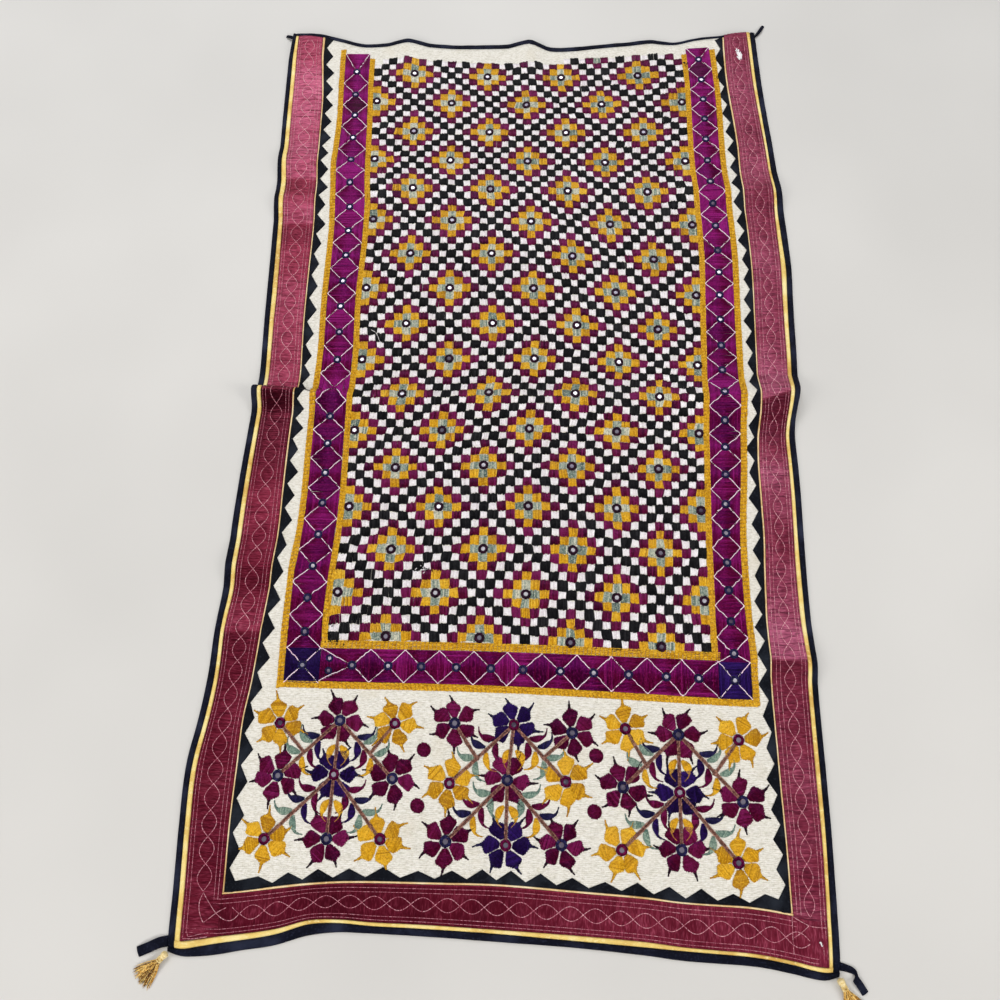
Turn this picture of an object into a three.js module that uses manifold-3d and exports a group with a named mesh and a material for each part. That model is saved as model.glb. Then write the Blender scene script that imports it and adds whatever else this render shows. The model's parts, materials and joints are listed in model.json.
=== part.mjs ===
// Embroidered wall hanging, laid out on a floor. A cream cotton panel is framed on three sides by
// a black sawtooth, piping, a quilted satin border and a bound edge, with ties and tassels at the
// corners. Millimetres: +X runs across the cloth, +Y towards its top edge, +Z up from the floor.
import * as THREE from 'three';
import { mergeVertices } from 'three/addons/utils/BufferGeometryUtils.js';
import Module from 'manifold-3d';

// Thickness of each cloth, and the clearance between neighbouring pieces
const PANEL_THICK = 1.6;
const SAWTOOTH_THICK = 1.0;
const INNER_PIPING_THICK = 2.8;
const BORDER_THICK = 2.2;
const BORDER_CROWN = 0.8;
const OUTER_PIPING_THICK = 2.2;
const BINDING_THICK = 3.0;
const GAP = 0.3;

// Side strips from the top down: the outer edge's place, and the width of each strip inside it
const LEFT_SIDE = [
  { y: 815, edge: -454, binding: 7, outer: 5, border: 48, inner: 5 },
  { y: 750, edge: -459, binding: 8, outer: 8, border: 50, inner: 4.5 },
  { y: 650, edge: -457.5, binding: 8.5, outer: 8, border: 57, inner: 3.5 },
  { y: 550, edge: -454, binding: 8, outer: 8.5, border: 57, inner: 3 },
  { y: 450, edge: -450, binding: 8, outer: 9.5, border: 57, inner: 3 },
  { y: 350, edge: -446.5, binding: 9.5, outer: 8, border: 56.5, inner: 3 },
  { y: 250, edge: -443, binding: 9.5, outer: 9, border: 52.5, inner: 3 },
  { y: 150, edge: -439.5, binding: 9.5, outer: 8, border: 52, inner: 3 },
  { y: 60, edge: -436, binding: 10, outer: 7, border: 53, inner: 3 },
  { y: 0, edge: -441, binding: 10, outer: 7.5, border: 52, inner: 3.5 },
  { y: -100, edge: -446, binding: 10, outer: 8, border: 54.5, inner: 3.5 },
  { y: -200, edge: -449, binding: 10.5, outer: 8, border: 58, inner: 3 },
  { y: -300, edge: -449, binding: 11, outer: 7, border: 55, inner: 3 },
  { y: -370, edge: -454, binding: 9.5, outer: 6.5, border: 56, inner: 3 },
  { y: -440, edge: -455, binding: 10.5, outer: 6.5, border: 52, inner: 3 },
  { y: -500, edge: -460, binding: 10, outer: 7, border: 50, inner: 3 },
  { y: -560, edge: -469, binding: 9.5, outer: 7.5, border: 58, inner: 3 },
  { y: -650, edge: -468, binding: 9, outer: 8, border: 56.5, inner: 3 },
  { y: -740, edge: -463.5, binding: 9.5, outer: 8, border: 54.5, inner: 3 },
  { y: -800, edge: -461, binding: 9.5, outer: 8, border: 54, inner: 3 },
  { y: -822, edge: -457, binding: 9, outer: 7, border: 52, inner: 3 },
];
const RIGHT_SIDE = [
  { y: 815, edge: 454, binding: 9.5, outer: 7, border: 44, inner: 3 },
  { y: 750, edge: 457.5, binding: 10, outer: 6.5, border: 47, inner: 4 },
  { y: 650, edge: 462.5, binding: 10, outer: 6, border: 47, inner: 4 },
  { y: 550, edge: 470, binding: 10, outer: 5, border: 47, inner: 4 },
  { y: 450, edge: 476, binding: 10.5, outer: 5, border: 51, inner: 3.5 },
  { y: 350, edge: 482, binding: 11, outer: 7, border: 49.5, inner: 3 },
  { y: 270, edge: 484, binding: 9.5, outer: 9, border: 49, inner: 3 },
  { y: 200, edge: 481, binding: 10, outer: 8, border: 48, inner: 3 },
  { y: 100, edge: 478.5, binding: 10, outer: 7, border: 49, inner: 3 },
  { y: 45, edge: 474, binding: 9.5, outer: 7, border: 47, inner: 3 },
  { y: 0, edge: 466.5, binding: 8, outer: 6, border: 42.5, inner: 3.5 },
  { y: -50, edge: 464, binding: 10, outer: 6, border: 43, inner: 4 },
  { y: -100, edge: 465.5, binding: 9.5, outer: 6, border: 47, inner: 3.5 },
  { y: -200, edge: 464, binding: 9.5, outer: 6.5, border: 44.5, inner: 3.5 },
  { y: -300, edge: 463, binding: 8.5, outer: 8, border: 47.5, inner: 3.5 },
  { y: -400, edge: 464.5, binding: 8.5, outer: 6.5, border: 52, inner: 3 },
  { y: -550, edge: 465.5, binding: 8.5, outer: 7, border: 50, inner: 3 },
  { y: -650, edge: 465.5, binding: 8.5, outer: 6, border: 48.5, inner: 3 },
  { y: -740, edge: 463.5, binding: 9.5, outer: 5.5, border: 45.5, inner: 3 },
  { y: -800, edge: 461, binding: 9.5, outer: 5.5, border: 45, inner: 3 },
  { y: -822, edge: 454, binding: 8, outer: 5.5, border: 44, inner: 3 },
];

// Bottom strips from left to right, in the same order from the outer edge upwards
const BOTTOM_SIDE = [
  { x: -465, edge: -814, binding: 5, outer: 9, border: 54, inner: 3 },
  { x: -440, edge: -821, binding: 9, outer: 9.5, border: 56, inner: 3 },
  { x: -400, edge: -819, binding: 14, outer: 9, border: 53, inner: 3 },
  { x: -350, edge: -810, binding: 13, outer: 8, border: 52, inner: 3 },
  { x: -300, edge: -801, binding: 14, outer: 7, border: 50, inner: 4 },
  { x: -250, edge: -786, binding: 14, outer: 5, border: 43, inner: 3.5 },
  { x: -200, edge: -784, binding: 10, outer: 5, border: 48, inner: 3.5 },
  { x: -100, edge: -785, binding: 9.5, outer: 5.5, border: 50.5, inner: 3.5 },
  { x: 0, edge: -788, binding: 10, outer: 5.5, border: 54, inner: 3.5 },
  { x: 100, edge: -791, binding: 8.5, outer: 7, border: 52.5, inner: 3.5 },
  { x: 200, edge: -797, binding: 10, outer: 7, border: 52.5, inner: 3.5 },
  { x: 260, edge: -802, binding: 12, outer: 5, border: 53, inner: 3 },
  { x: 350, edge: -805, binding: 11, outer: 5, border: 54, inner: 3.5 },
  { x: 400, edge: -812, binding: 11, outer: 5, border: 55, inner: 3.5 },
  { x: 438, edge: -818, binding: 9.5, outer: 6, border: 56, inner: 3.5 },
  { x: 462, edge: -812, binding: 6, outer: 6, border: 54, inner: 3.5 },
];

// Top edge from left to right: its place and the width of its binding
const TOP_EDGE = [
  { x: -460, edge: 806, binding: 6 },
  { x: -420, edge: 804, binding: 6 },
  { x: -390, edge: 803, binding: 8 },
  { x: -350, edge: 797, binding: 9 },
  { x: -300, edge: 785, binding: 9 },
  { x: -222, edge: 790, binding: 10 },
  { x: -165, edge: 783, binding: 10 },
  { x: -50, edge: 782, binding: 11 },
  { x: 18, edge: 784, binding: 11 },
  { x: 55, edge: 775, binding: 11 },
  { x: 110, edge: 776, binding: 11 },
  { x: 165, edge: 782, binding: 10 },
  { x: 250, edge: 786, binding: 10 },
  { x: 300, edge: 784, binding: 7 },
  { x: 345, edge: 794, binding: 6 },
  { x: 390, edge: 794, binding: 6 },
  { x: 435, edge: 805, binding: 6 },
  { x: 460, edge: 802, binding: 6 },
];

// Creases left from folding: where the crest crosses the left side, the middle and the right side,
// how high it stands there, and how far its slopes run towards the bottom and the top edge
const CREASES = [
  {
    left: 462, middle: 446, right: 436,
    riseLeft: 8, riseIn: 4, riseRight: 9, near: 46, farLeft: 44, farRight: 44,
  },
  {
    left: 366, middle: 366, right: 366,
    riseLeft: 9, riseIn: 2, riseRight: 0, near: 40, farLeft: 42, farRight: 42,
  },
  {
    left: 34, middle: 20, right: 34,
    riseLeft: 25, riseIn: 7, riseRight: 20, near: 60, farLeft: 16, farRight: 45,
  },
  {
    left: -372, middle: -374, right: -400,
    riseLeft: 8, riseIn: 4, riseRight: 9, near: 34, farLeft: 46, farRight: 46,
  },
];
const CREASE_SIDE = 455;
const CREASE_INNER = 285;
const CREASE_BOW_REACH = 120;

// Flutes that stand up along the top edge and die away below it
const FLUTES = [
  { x: -420, rise: 10, spread: 75, reach: 120 },
  { x: -222, rise: 10, spread: 55, reach: 110 },
  { x: 18, rise: 11, spread: 36, reach: 130 },
  { x: 250, rise: 6, spread: 60, reach: 90 },
  { x: 400, rise: 7, spread: 75, reach: 110 },
];

// Lines of the cloth's lattice: rows between the bottom strips and the top binding, and columns
// between the two sawtooth strips
const ROWS = [
  -640, -570, -500, -450, -408, -390, -374, -352, -328, -270, -205, -140, -85, -40, -20, -3, 11,
  20, 25, 30, 36, 50, 65, 110, 170, 225, 280, 326, 346, 366, 387, 408, 426, 446, 468, 490,
  540, 600, 655, 700, 737,
];
const COLUMNS = [
  -310, -265, -222, -180, -130, -75, -25, 18, 55, 105, 160, 205, 250, 300, 340,
];
const EDGE_BLEND = 110;
const SAWTOOTH_COLUMN = 26;

// Sawtooth: how far its teeth reach over the panel, the strip that joins them, and where the tip of
// a numbered tooth lies along each side, the ones between spaced smoothly
const TOOTH_TIP = { left: 18, right: 16, bottom: 16 };
const TOOTH_VALLEY = 4.5;
const TOOTH_UNEVEN = 0.14;
const TEETH = {
  left: [
    { tooth: 0, at: -731 }, { tooth: 3, at: -592 }, { tooth: 7, at: -413 }, { tooth: 11, at: -236 },
    { tooth: 16, at: -34 }, { tooth: 20, at: 100 }, { tooth: 24, at: 283 }, { tooth: 28, at: 446 },
    { tooth: 32, at: 597 }, { tooth: 37, at: 792 },
  ],
  right: [
    { tooth: 0, at: -722 }, { tooth: 4, at: -566 }, { tooth: 8, at: -390 }, { tooth: 12, at: -229 },
    { tooth: 16, at: -59 }, { tooth: 20, at: 94 }, { tooth: 24, at: 256 }, { tooth: 28, at: 414 },
    { tooth: 32, at: 571 }, { tooth: 37, at: 784 },
  ],
  bottom: [
    { tooth: 0, at: -343 }, { tooth: 3, at: -214 }, { tooth: 6, at: -68 }, { tooth: 9, at: 57 },
    { tooth: 12, at: 192 }, { tooth: 16, at: 367 },
  ],
};

// Tassels at the lower corners: a bound head, and locks that lie on the floor
const TASSEL_LOCKS = 13;
const LOCK_WIDTH = 1.7;
const LOCK_FAN = 52;
const LOCK_UNEVEN = 0.12;
const TASSEL_HEAD_RADIUS = 5;
const TASSEL_SEAT = -0.6;
const TASSELS = {
  left: { heading: 226, length: 50 },
  right: { heading: 297, length: 44 },
};

// Ties: short ends of tape sewn to the side bindings. Each has the middle of its seam, its width and
// its path from there, as steps out of the edge, up the cloth and above the floor
const TIE_THICK = 1.8;
const TIES = {
  tie_top_left: { side: 'left', at: 799, width: 7, path: [[7, 5, 3.5], [14, 9, 1]] },
  tie_top_right: { side: 'right', at: 798, width: 6, path: [[6, 7, 2.5], [18, 27, 0]] },
  tie_bottom_left: {
    side: 'left', at: -803, width: 14, path: [[10, -2, 2], [24, -8, 2], [40, -15, 0]],
  },
  tie_bottom_right: {
    side: 'right', at: -800, width: 10, path: [[8, -2, 2], [19, -15, 2], [30, -31, 0]],
  },
};

// Colours of the cloths and threads
const COLOURS = {
  cotton: 0xe1dcc8,
  black: 0x23262b,
  cream: 0xf0dca6,
  satin: 0x7d2140,
  yellow: 0xf0c85a,
  navy: 0x1a1e2d,
  gold: 0xdca545,
};
const CLOTH_ROUGHNESS = 0.85;
const SATIN_ROUGHNESS = 0.45;

function material(colour, roughness = CLOTH_ROUGHNESS) {
  return new THREE.MeshStandardMaterial({ color: COLOURS[colour], roughness, metalness: 0 });
}

// A smooth curve through one column of a table, flat beyond the table's ends
function along(table, key, at, column) {
  const rows = table[0][key] < table[table.length - 1][key] ? table : [...table].reverse();
  const last = rows.length - 1;
  if (at <= rows[0][key]) return rows[0][column];
  if (at >= rows[last][key]) return rows[last][column];
  let k = 0;
  while (rows[k + 1][key] < at) k += 1;
  const slope = (n) => {
    const before = rows[Math.max(n - 1, 0)];
    const after = rows[Math.min(n + 1, last)];
    return (after[column] - before[column]) / (after[key] - before[key]);
  };
  const span = rows[k + 1][key] - rows[k][key];
  const t = (at - rows[k][key]) / span;
  const rise = rows[k + 1][column] - rows[k][column];
  const a = slope(k) * span - rise;
  const b = rise - slope(k + 1) * span;
  return rows[k][column] + t * rise + t * (1 - t) * (a * (1 - t) + b * t);
}

// A rounded bump of height 1 that ends flat at a distance of 1
function bump(t) {
  const inside = 1 - t * t;
  return inside > 0 ? inside * inside : 0;
}

// Crest line and height of a crease where it crosses x
function crestAt(crease, x) {
  const t = THREE.MathUtils.clamp(x / CREASE_SIDE, -1, 1);
  const end = t < 0 ? crease.left : crease.right;
  return crease.middle + (end - crease.middle) * t * t;
}

function riseAt(crease, x) {
  const out = THREE.MathUtils.smoothstep(Math.abs(x), CREASE_INNER, CREASE_SIDE);
  const end = x < 0 ? crease.riseLeft : crease.riseRight;
  return crease.riseIn + (end - crease.riseIn) * out;
}

// Height of the cloth's underside above the floor
function heightAt(x, y) {
  let height = 0;
  for (const crease of CREASES) {
    const d = y - crestAt(crease, x);
    const across = THREE.MathUtils.smoothstep(x, -CREASE_SIDE, CREASE_SIDE);
    const far = crease.farLeft + (crease.farRight - crease.farLeft) * across;
    height = Math.max(height, riseAt(crease, x) * bump(d / (d < 0 ? crease.near : far)));
  }
  const top = along(TOP_EDGE, 'x', x, 'edge');
  for (const flute of FLUTES) {
    const fade = THREE.MathUtils.smoothstep(y, top - flute.reach, top);
    height += flute.rise * bump((x - flute.x) / flute.spread) * fade;
  }
  return height;
}

// Lattice lines across the cloth, as functions of y, numbered from the left edge
const STRIPS = ['binding', 'outer', 'border', 'border', 'inner'];
const STRIP_SHARE = [1, 1, 0.5, 0.5, 1];

function stripLines(table, key, inwards) {
  const lines = [(at) => along(table, key, at, 'edge')];
  STRIPS.forEach((strip, n) => {
    const outside = lines[n];
    const share = STRIP_SHARE[n] * inwards;
    lines.push((at) => outside(at) + share * along(table, key, at, strip));
  });
  const seam = lines[STRIPS.length];
  lines.push((at) => seam(at) + SAWTOOTH_COLUMN * inwards);
  return lines;
}

const columnLines = [
  ...stripLines(LEFT_SIDE, 'y', 1),
  ...COLUMNS.map((x) => () => x),
  ...stripLines(RIGHT_SIDE, 'y', -1).reverse(),
];

// Lattice lines up the cloth, as functions of x, numbered from the bottom edge
const bottomLines = stripLines(BOTTOM_SIDE, 'x', 1);
const topEdge = (x) => along(TOP_EDGE, 'x', x, 'edge');
const topSeam = (x) => topEdge(x) - along(TOP_EDGE, 'x', x, 'binding');
const bottomTeeth = bottomLines[bottomLines.length - 1];

// A plain row bends with the crease or the edge that lies near it
function plainRow(y) {
  return (x) => {
    let at = y;
    for (const crease of CREASES) {
      const weight = Math.max(0, 1 - Math.abs(y - crease.middle) / CREASE_BOW_REACH);
      at += weight * (crestAt(crease, x) - crease.middle);
    }
    const low = Math.max(0, 1 - (y - bottomTeeth(0)) / EDGE_BLEND);
    const high = Math.max(0, 1 - (topSeam(0) - y) / EDGE_BLEND);
    at += low * (bottomTeeth(x) - bottomTeeth(0));
    return at + high * (topSeam(x) - topSeam(0));
  };
}

const rowLines = [...bottomLines, ...ROWS.map(plainRow), topSeam, topEdge];

// Numbers of the lattice lines where the pieces meet
const L = { edge: 0, binding: 1, outer: 2, border: 4, inner: 5, teeth: 6 };
const END = columnLines.length - 1;
const R = Object.fromEntries(Object.entries(L).map(([line, n]) => [line, END - n]));
const B = { ...L };
const T = { edge: rowLines.length - 1, seam: rowLines.length - 2 };

// Lattice point on the underside, where a column and a row cross
const CROSSING_PASSES = 6;

function latticePoint(i, j) {
  let y = rowLines[j](0);
  let x = columnLines[i](y);
  for (let pass = 0; pass < CROSSING_PASSES; pass += 1) {
    y = rowLines[j](x);
    x = columnLines[i](y);
  }
  return new THREE.Vector3(x, y, heightAt(x, y));
}

const lattice = columnLines.map((_, i) => rowLines.map((__, j) => latticePoint(i, j)));

// Direction in which the cloth's thickness is laid on at a lattice point
function latticeNormal(i, j) {
  const last = rowLines.length - 1;
  const across = lattice[Math.min(i + 1, END)][j].clone().sub(lattice[Math.max(i - 1, 0)][j]);
  const up = lattice[i][Math.min(j + 1, last)].clone().sub(lattice[i][Math.max(j - 1, 0)]);
  return across.cross(up).normalize();
}

// Lattice point drawn in by half the clearance where it lies on the rim of a patch
function insetPoint(i, j, cols, rows) {
  const point = lattice[i][j].clone();
  const pull = (neighbour) => {
    const step = neighbour.clone().sub(lattice[i][j]);
    point.addScaledVector(step, GAP / 2 / step.length());
  };
  if (i === cols[0]) pull(lattice[i + 1][j]);
  if (i === cols[1]) pull(lattice[i - 1][j]);
  if (j === rows[0]) pull(lattice[i][j + 1]);
  if (j === rows[1]) pull(lattice[i][j - 1]);
  return point;
}

// Closed solid over a grid of point pairs, lower and upper, counted n along and m across
function gridSolid(n, m, pairAt) {
  const positions = [];
  for (let a = 0; a < n; a += 1) {
    for (let b = 0; b < m; b += 1) {
      const [lower, upper] = pairAt(a, b);
      positions.push(...lower.toArray(), ...upper.toArray());
    }
  }
  const low = (a, b) => 2 * (a * m + b);
  const high = (a, b) => low(a, b) + 1;
  const index = [];
  const quad = (p, q, r, s) => index.push(p, q, r, p, r, s);
  for (let a = 0; a < n - 1; a += 1) {
    for (let b = 0; b < m - 1; b += 1) {
      quad(high(a, b), high(a + 1, b), high(a + 1, b + 1), high(a, b + 1));
      quad(low(a, b), low(a, b + 1), low(a + 1, b + 1), low(a + 1, b));
    }
    quad(low(a, 0), low(a + 1, 0), high(a + 1, 0), high(a, 0));
    quad(low(a + 1, m - 1), low(a, m - 1), high(a, m - 1), high(a + 1, m - 1));
  }
  for (let b = 0; b < m - 1; b += 1) {
    quad(low(0, b + 1), low(0, b), high(0, b), high(0, b + 1));
    quad(low(n - 1, b), low(n - 1, b + 1), high(n - 1, b + 1), high(n - 1, b));
  }
  const geometry = new THREE.BufferGeometry();
  geometry.setAttribute('position', new THREE.Float32BufferAttribute(positions, 3));
  geometry.setIndex(index);
  return geometry;
}

// Patch of cloth between lattice lines, lifted off the underside, with an optional raised middle
function clothPatch(cols, rows, thick, { lift = 0, crown = 0 } = {}) {
  const n = cols[1] - cols[0] + 1;
  const m = rows[1] - rows[0] + 1;
  return gridSolid(n, m, (a, b) => {
    const i = cols[0] + a;
    const j = rows[0] + b;
    const point = insetPoint(i, j, cols, rows);
    const normal = latticeNormal(i, j);
    const inner = (n === 3 && a === 1) || (m === 3 && b === 1);
    const upper = lift + thick + (inner ? crown : 0);
    return [point.clone().addScaledVector(normal, lift), point.clone().addScaledVector(normal, upper)];
  });
}

// Conversion to and from solids that can be joined and cut
const wasm = await Module();
wasm.setup();

function toSolid(geometry) {
  const bare = geometry.clone();
  bare.deleteAttribute('normal');
  bare.deleteAttribute('uv');
  const merged = mergeVertices(bare);
  return new wasm.Manifold(new wasm.Mesh({
    numProp: 3,
    vertProperties: new Float32Array(merged.attributes.position.array),
    triVerts: new Uint32Array(merged.index.array),
  }));
}

function toGeometry(solid) {
  const mesh = solid.getMesh();
  const geometry = new THREE.BufferGeometry();
  geometry.setAttribute('position', new THREE.BufferAttribute(new Float32Array(mesh.vertProperties), 3));
  geometry.setIndex(new THREE.BufferAttribute(new Uint32Array(mesh.triVerts), 1));
  return geometry;
}

// Uneven hand work: a number between -1 and 1 that differs from piece to piece
function uneven(k) {
  return Math.sin(12.9 * k + 4.1 * Math.sin(2.3 * k));
}

// Prism around a row of teeth along a seam, closed well outside the seam
const CUT_MARGIN = 30;
const CUT_DEPTH = 80;

function toothCutter(side, seam, inwards, upright) {
  const table = TEETH[side];
  const last = table[table.length - 1].tooth;
  const place = (at, reach) => {
    const out = seam(at) + inwards * reach;
    return upright ? new THREE.Vector2(out, at) : new THREE.Vector2(at, out);
  };
  const tipAt = (k) => along(table, 'tooth', k, 'at');
  const from = table[0].at - CUT_MARGIN;
  const to = table[table.length - 1].at + CUT_MARGIN;
  const outline = [place(from, -CUT_MARGIN), place(from, TOOTH_VALLEY)];
  for (let k = 0; k <= last; k += 1) {
    outline.push(place(tipAt(k), TOOTH_TIP[side] * (1 + TOOTH_UNEVEN * uneven(k))));
    const valley = k < last ? (tipAt(k) + tipAt(k + 1)) / 2 : to;
    outline.push(place(valley, TOOTH_VALLEY * (1 + TOOTH_UNEVEN * uneven(3 * k + 1))));
  }
  outline.push(place(to, -CUT_MARGIN));
  const geometry = new THREE.ExtrudeGeometry(new THREE.Shape(outline), {
    depth: CUT_DEPTH,
    bevelEnabled: false,
  });
  return toSolid(geometry.translate(0, 0, -CUT_DEPTH / 2));
}

// Teeth lie on the panel, parallel to it
function sawtoothStrip(cols, rows, cutter) {
  const strip = clothPatch(cols, rows, SAWTOOTH_THICK, { lift: PANEL_THICK + GAP });
  return toGeometry(toSolid(strip).intersect(cutter));
}

// Tassel along +X from its bound end: a waisted head, and locks that fan out over the floor. A
// lock's stations are shares of its length, and their heights and widths are in millimetres
const LOCK_SECTION = [[-0.5, 0], [0.5, 0], [0.35, 0.9], [-0.35, 0.9]];
const LOCK_ROOT = 11.2;
const LOCK_STATIONS = [
  { share: 0, z: 3.75, width: LOCK_WIDTH },
  { share: 0.25, z: 0, width: LOCK_WIDTH },
  { share: 0.7, z: 0, width: 1.87 },
  { share: 1, z: 0, width: 1.19 },
];

function tasselLock(angle, length) {
  const positions = [];
  for (const { share, z, width } of LOCK_STATIONS) {
    const out = share * length;
    for (const [side, up] of LOCK_SECTION) {
      const x = LOCK_ROOT + out * Math.cos(angle) - side * width * Math.sin(angle);
      const y = out * Math.sin(angle) + side * width * Math.cos(angle);
      positions.push(x, y, z + up * width);
    }
  }
  const sides = LOCK_SECTION.length;
  const index = [0, 2, 1, 0, 3, 2];
  for (let s = 0; s < LOCK_STATIONS.length - 1; s += 1) {
    for (let k = 0; k < sides; k += 1) {
      const a = s * sides + k;
      const b = s * sides + ((k + 1) % sides);
      index.push(a, b, b + sides, a, b + sides, a + sides);
    }
  }
  const end = (LOCK_STATIONS.length - 1) * sides;
  index.push(end, end + 1, end + 2, end, end + 2, end + 3);
  const geometry = new THREE.BufferGeometry();
  geometry.setAttribute('position', new THREE.Float32BufferAttribute(positions, 3));
  geometry.setIndex(index);
  return geometry;
}

// Head of the tassel, as radius and distance along it from its bound end
const HEAD_PROFILE = [
  [0, 0], [3.1, 1.3], [4.9, 4.8], [4, 8.8], [3.6, 10.9], [4.25, 13.6], [2.5, 16], [0, 16],
];
const HEAD_SIDES = 12;

function tasselHead() {
  const points = HEAD_PROFILE.map(([out, at]) => new THREE.Vector2(out, at));
  const head = new THREE.LatheGeometry(points, HEAD_SIDES);
  return head.rotateZ(-Math.PI / 2).translate(0, 0, TASSEL_HEAD_RADIUS);
}

function tasselGeometry({ length }) {
  let solid = toSolid(tasselHead());
  for (let k = 0; k < TASSEL_LOCKS; k += 1) {
    const angle = THREE.MathUtils.degToRad(LOCK_FAN * (k / (TASSEL_LOCKS - 1) - 0.5));
    const reach = (length - LOCK_ROOT) * (1 + LOCK_UNEVEN * uneven(k));
    solid = solid.add(toSolid(tasselLock(angle, reach)));
  }
  return toGeometry(solid);
}

// Ribbon of tape from its seam on a side binding to its free end
function ribbonGeometry({ side, at, width, path }) {
  const outwards = side === 'left' ? -1 : 1;
  const edge = side === 'left' ? columnLines[L.edge] : columnLines[R.edge];
  const seat = (y) => new THREE.Vector3(edge(y) + outwards * GAP / 2, y, heightAt(edge(y), y));
  const middle = seat(at);
  const points = [middle, ...path.map(([out, up, z]) => new THREE.Vector3(
    middle.x + outwards * out,
    middle.y + up,
    z,
  ))];
  const last = points.length - 1;
  return gridSolid(points.length, 2, (a, b) => {
    const reach = (b - 0.5) * width;
    const ahead = points[Math.min(a + 1, last)].clone().sub(points[Math.max(a - 1, 0)]);
    ahead.setZ(0).normalize();
    const lower = a === 0
      ? seat(at + outwards * reach)
      : points[a].clone().add(new THREE.Vector3(-ahead.y * reach, ahead.x * reach, 0));
    return [lower, lower.clone().setZ(lower.z + TIE_THICK)];
  });
}

// Assembly: every piece is a named mesh in one group
const pieces = new THREE.Group();

function addPiece(name, geometry, look) {
  geometry.computeVertexNormals();
  const mesh = new THREE.Mesh(geometry, look);
  mesh.name = name;
  pieces.add(mesh);
  return mesh;
}

const LOOKS = {
  cotton: material('cotton'),
  black: material('black'),
  cream: material('cream'),
  satin: material('satin', SATIN_ROUGHNESS),
  yellow: material('yellow'),
  navy: material('navy'),
  gold: material('gold'),
};

addPiece('ground_panel', clothPatch([L.inner, R.inner], [B.inner, T.seam], PANEL_THICK), LOOKS.cotton);

const STRIP_THICK = {
  cream: INNER_PIPING_THICK,
  satin: BORDER_THICK,
  yellow: OUTER_PIPING_THICK,
  navy: BINDING_THICK,
};
const STRIP_PIECES = [
  { name: 'inner_piping_left', cols: [L.border, L.inner], rows: [B.inner, T.seam], look: 'cream' },
  { name: 'inner_piping_right', cols: [R.inner, R.border], rows: [B.inner, T.seam], look: 'cream' },
  { name: 'inner_piping_bottom', cols: [L.border, R.border], rows: [B.border, B.inner], look: 'cream' },
  { name: 'border_left', cols: [L.outer, L.border], rows: [B.outer, T.seam], look: 'satin' },
  { name: 'border_right', cols: [R.border, R.outer], rows: [B.border, T.edge], look: 'satin' },
  { name: 'border_bottom', cols: [L.border, R.outer], rows: [B.outer, B.border], look: 'satin' },
  { name: 'outer_piping_left', cols: [L.binding, L.outer], rows: [B.outer, T.seam], look: 'yellow' },
  { name: 'outer_piping_right', cols: [R.outer, R.binding], rows: [B.outer, T.edge], look: 'yellow' },
  { name: 'outer_piping_bottom', cols: [L.binding, R.binding], rows: [B.binding, B.outer], look: 'yellow' },
  { name: 'binding_left', cols: [L.edge, L.binding], rows: [B.binding, T.edge], look: 'navy' },
  { name: 'binding_right', cols: [R.binding, R.edge], rows: [B.binding, T.edge], look: 'navy' },
  { name: 'binding_bottom', cols: [L.edge, R.edge], rows: [B.edge, B.binding], look: 'navy' },
  { name: 'binding_top', cols: [L.binding, R.border], rows: [T.seam, T.edge], look: 'navy' },
];
for (const { name, cols, rows, look } of STRIP_PIECES) {
  const crown = look === 'satin' ? BORDER_CROWN : 0;
  addPiece(name, clothPatch(cols, rows, STRIP_THICK[look], { crown }), LOOKS[look]);
}

const SAWTOOTH_STRIPS = {
  left: {
    cols: [L.inner, L.teeth], rows: [B.inner, T.seam],
    seam: columnLines[L.inner], inwards: 1, upright: true,
  },
  right: {
    cols: [R.teeth, R.inner], rows: [B.inner, T.seam],
    seam: columnLines[R.inner], inwards: -1, upright: true,
  },
  bottom: {
    cols: [L.teeth, R.teeth], rows: [B.inner, B.teeth],
    seam: bottomLines[B.inner], inwards: 1, upright: false,
  },
};
for (const [side, { cols, rows, seam, inwards, upright }] of Object.entries(SAWTOOTH_STRIPS)) {
  const cutter = toothCutter(side, seam, inwards, upright);
  addPiece(`sawtooth_${side}`, sawtoothStrip(cols, rows, cutter), LOOKS.black);
}

for (const [name, tie] of Object.entries(TIES)) addPiece(name, ribbonGeometry(tie), LOOKS.navy);

for (const [side, corner] of [['left', lattice[L.edge][B.edge]], ['right', lattice[R.edge][B.edge]]]) {
  const tassel = addPiece(`tassel_${side}`, tasselGeometry(TASSELS[side]), LOOKS.gold);
  const heading = THREE.MathUtils.degToRad(TASSELS[side].heading);
  tassel.rotation.z = heading;
  tassel.position.set(corner.x, corner.y, 0).add(new THREE.Vector3(
    TASSEL_SEAT * Math.cos(heading),
    TASSEL_SEAT * Math.sin(heading),
    0,
  ));
}

// The part's origin is the middle of its box, on the floor
const box = new THREE.Box3().setFromObject(pieces);
const middle = box.getCenter(new THREE.Vector3());
pieces.position.set(-middle.x, -middle.y, -box.min.z);

const hanging = new THREE.Group();
hanging.add(pieces);
hanging.updateMatrixWorld(true);

export default hanging;
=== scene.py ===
"""Looks of an embroidered wall hanging that lies on a floor: cloths, stitches, mirrors and tassels.

Places on the cloth are millimetres of its drawing, seen from above: x runs across the cloth and y
towards its top edge. The scene's own units are metres.
"""

import json
import math

import bpy
import numpy as np
from mathutils import Matrix, Vector
from mathutils.bvhtree import BVHTree


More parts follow.
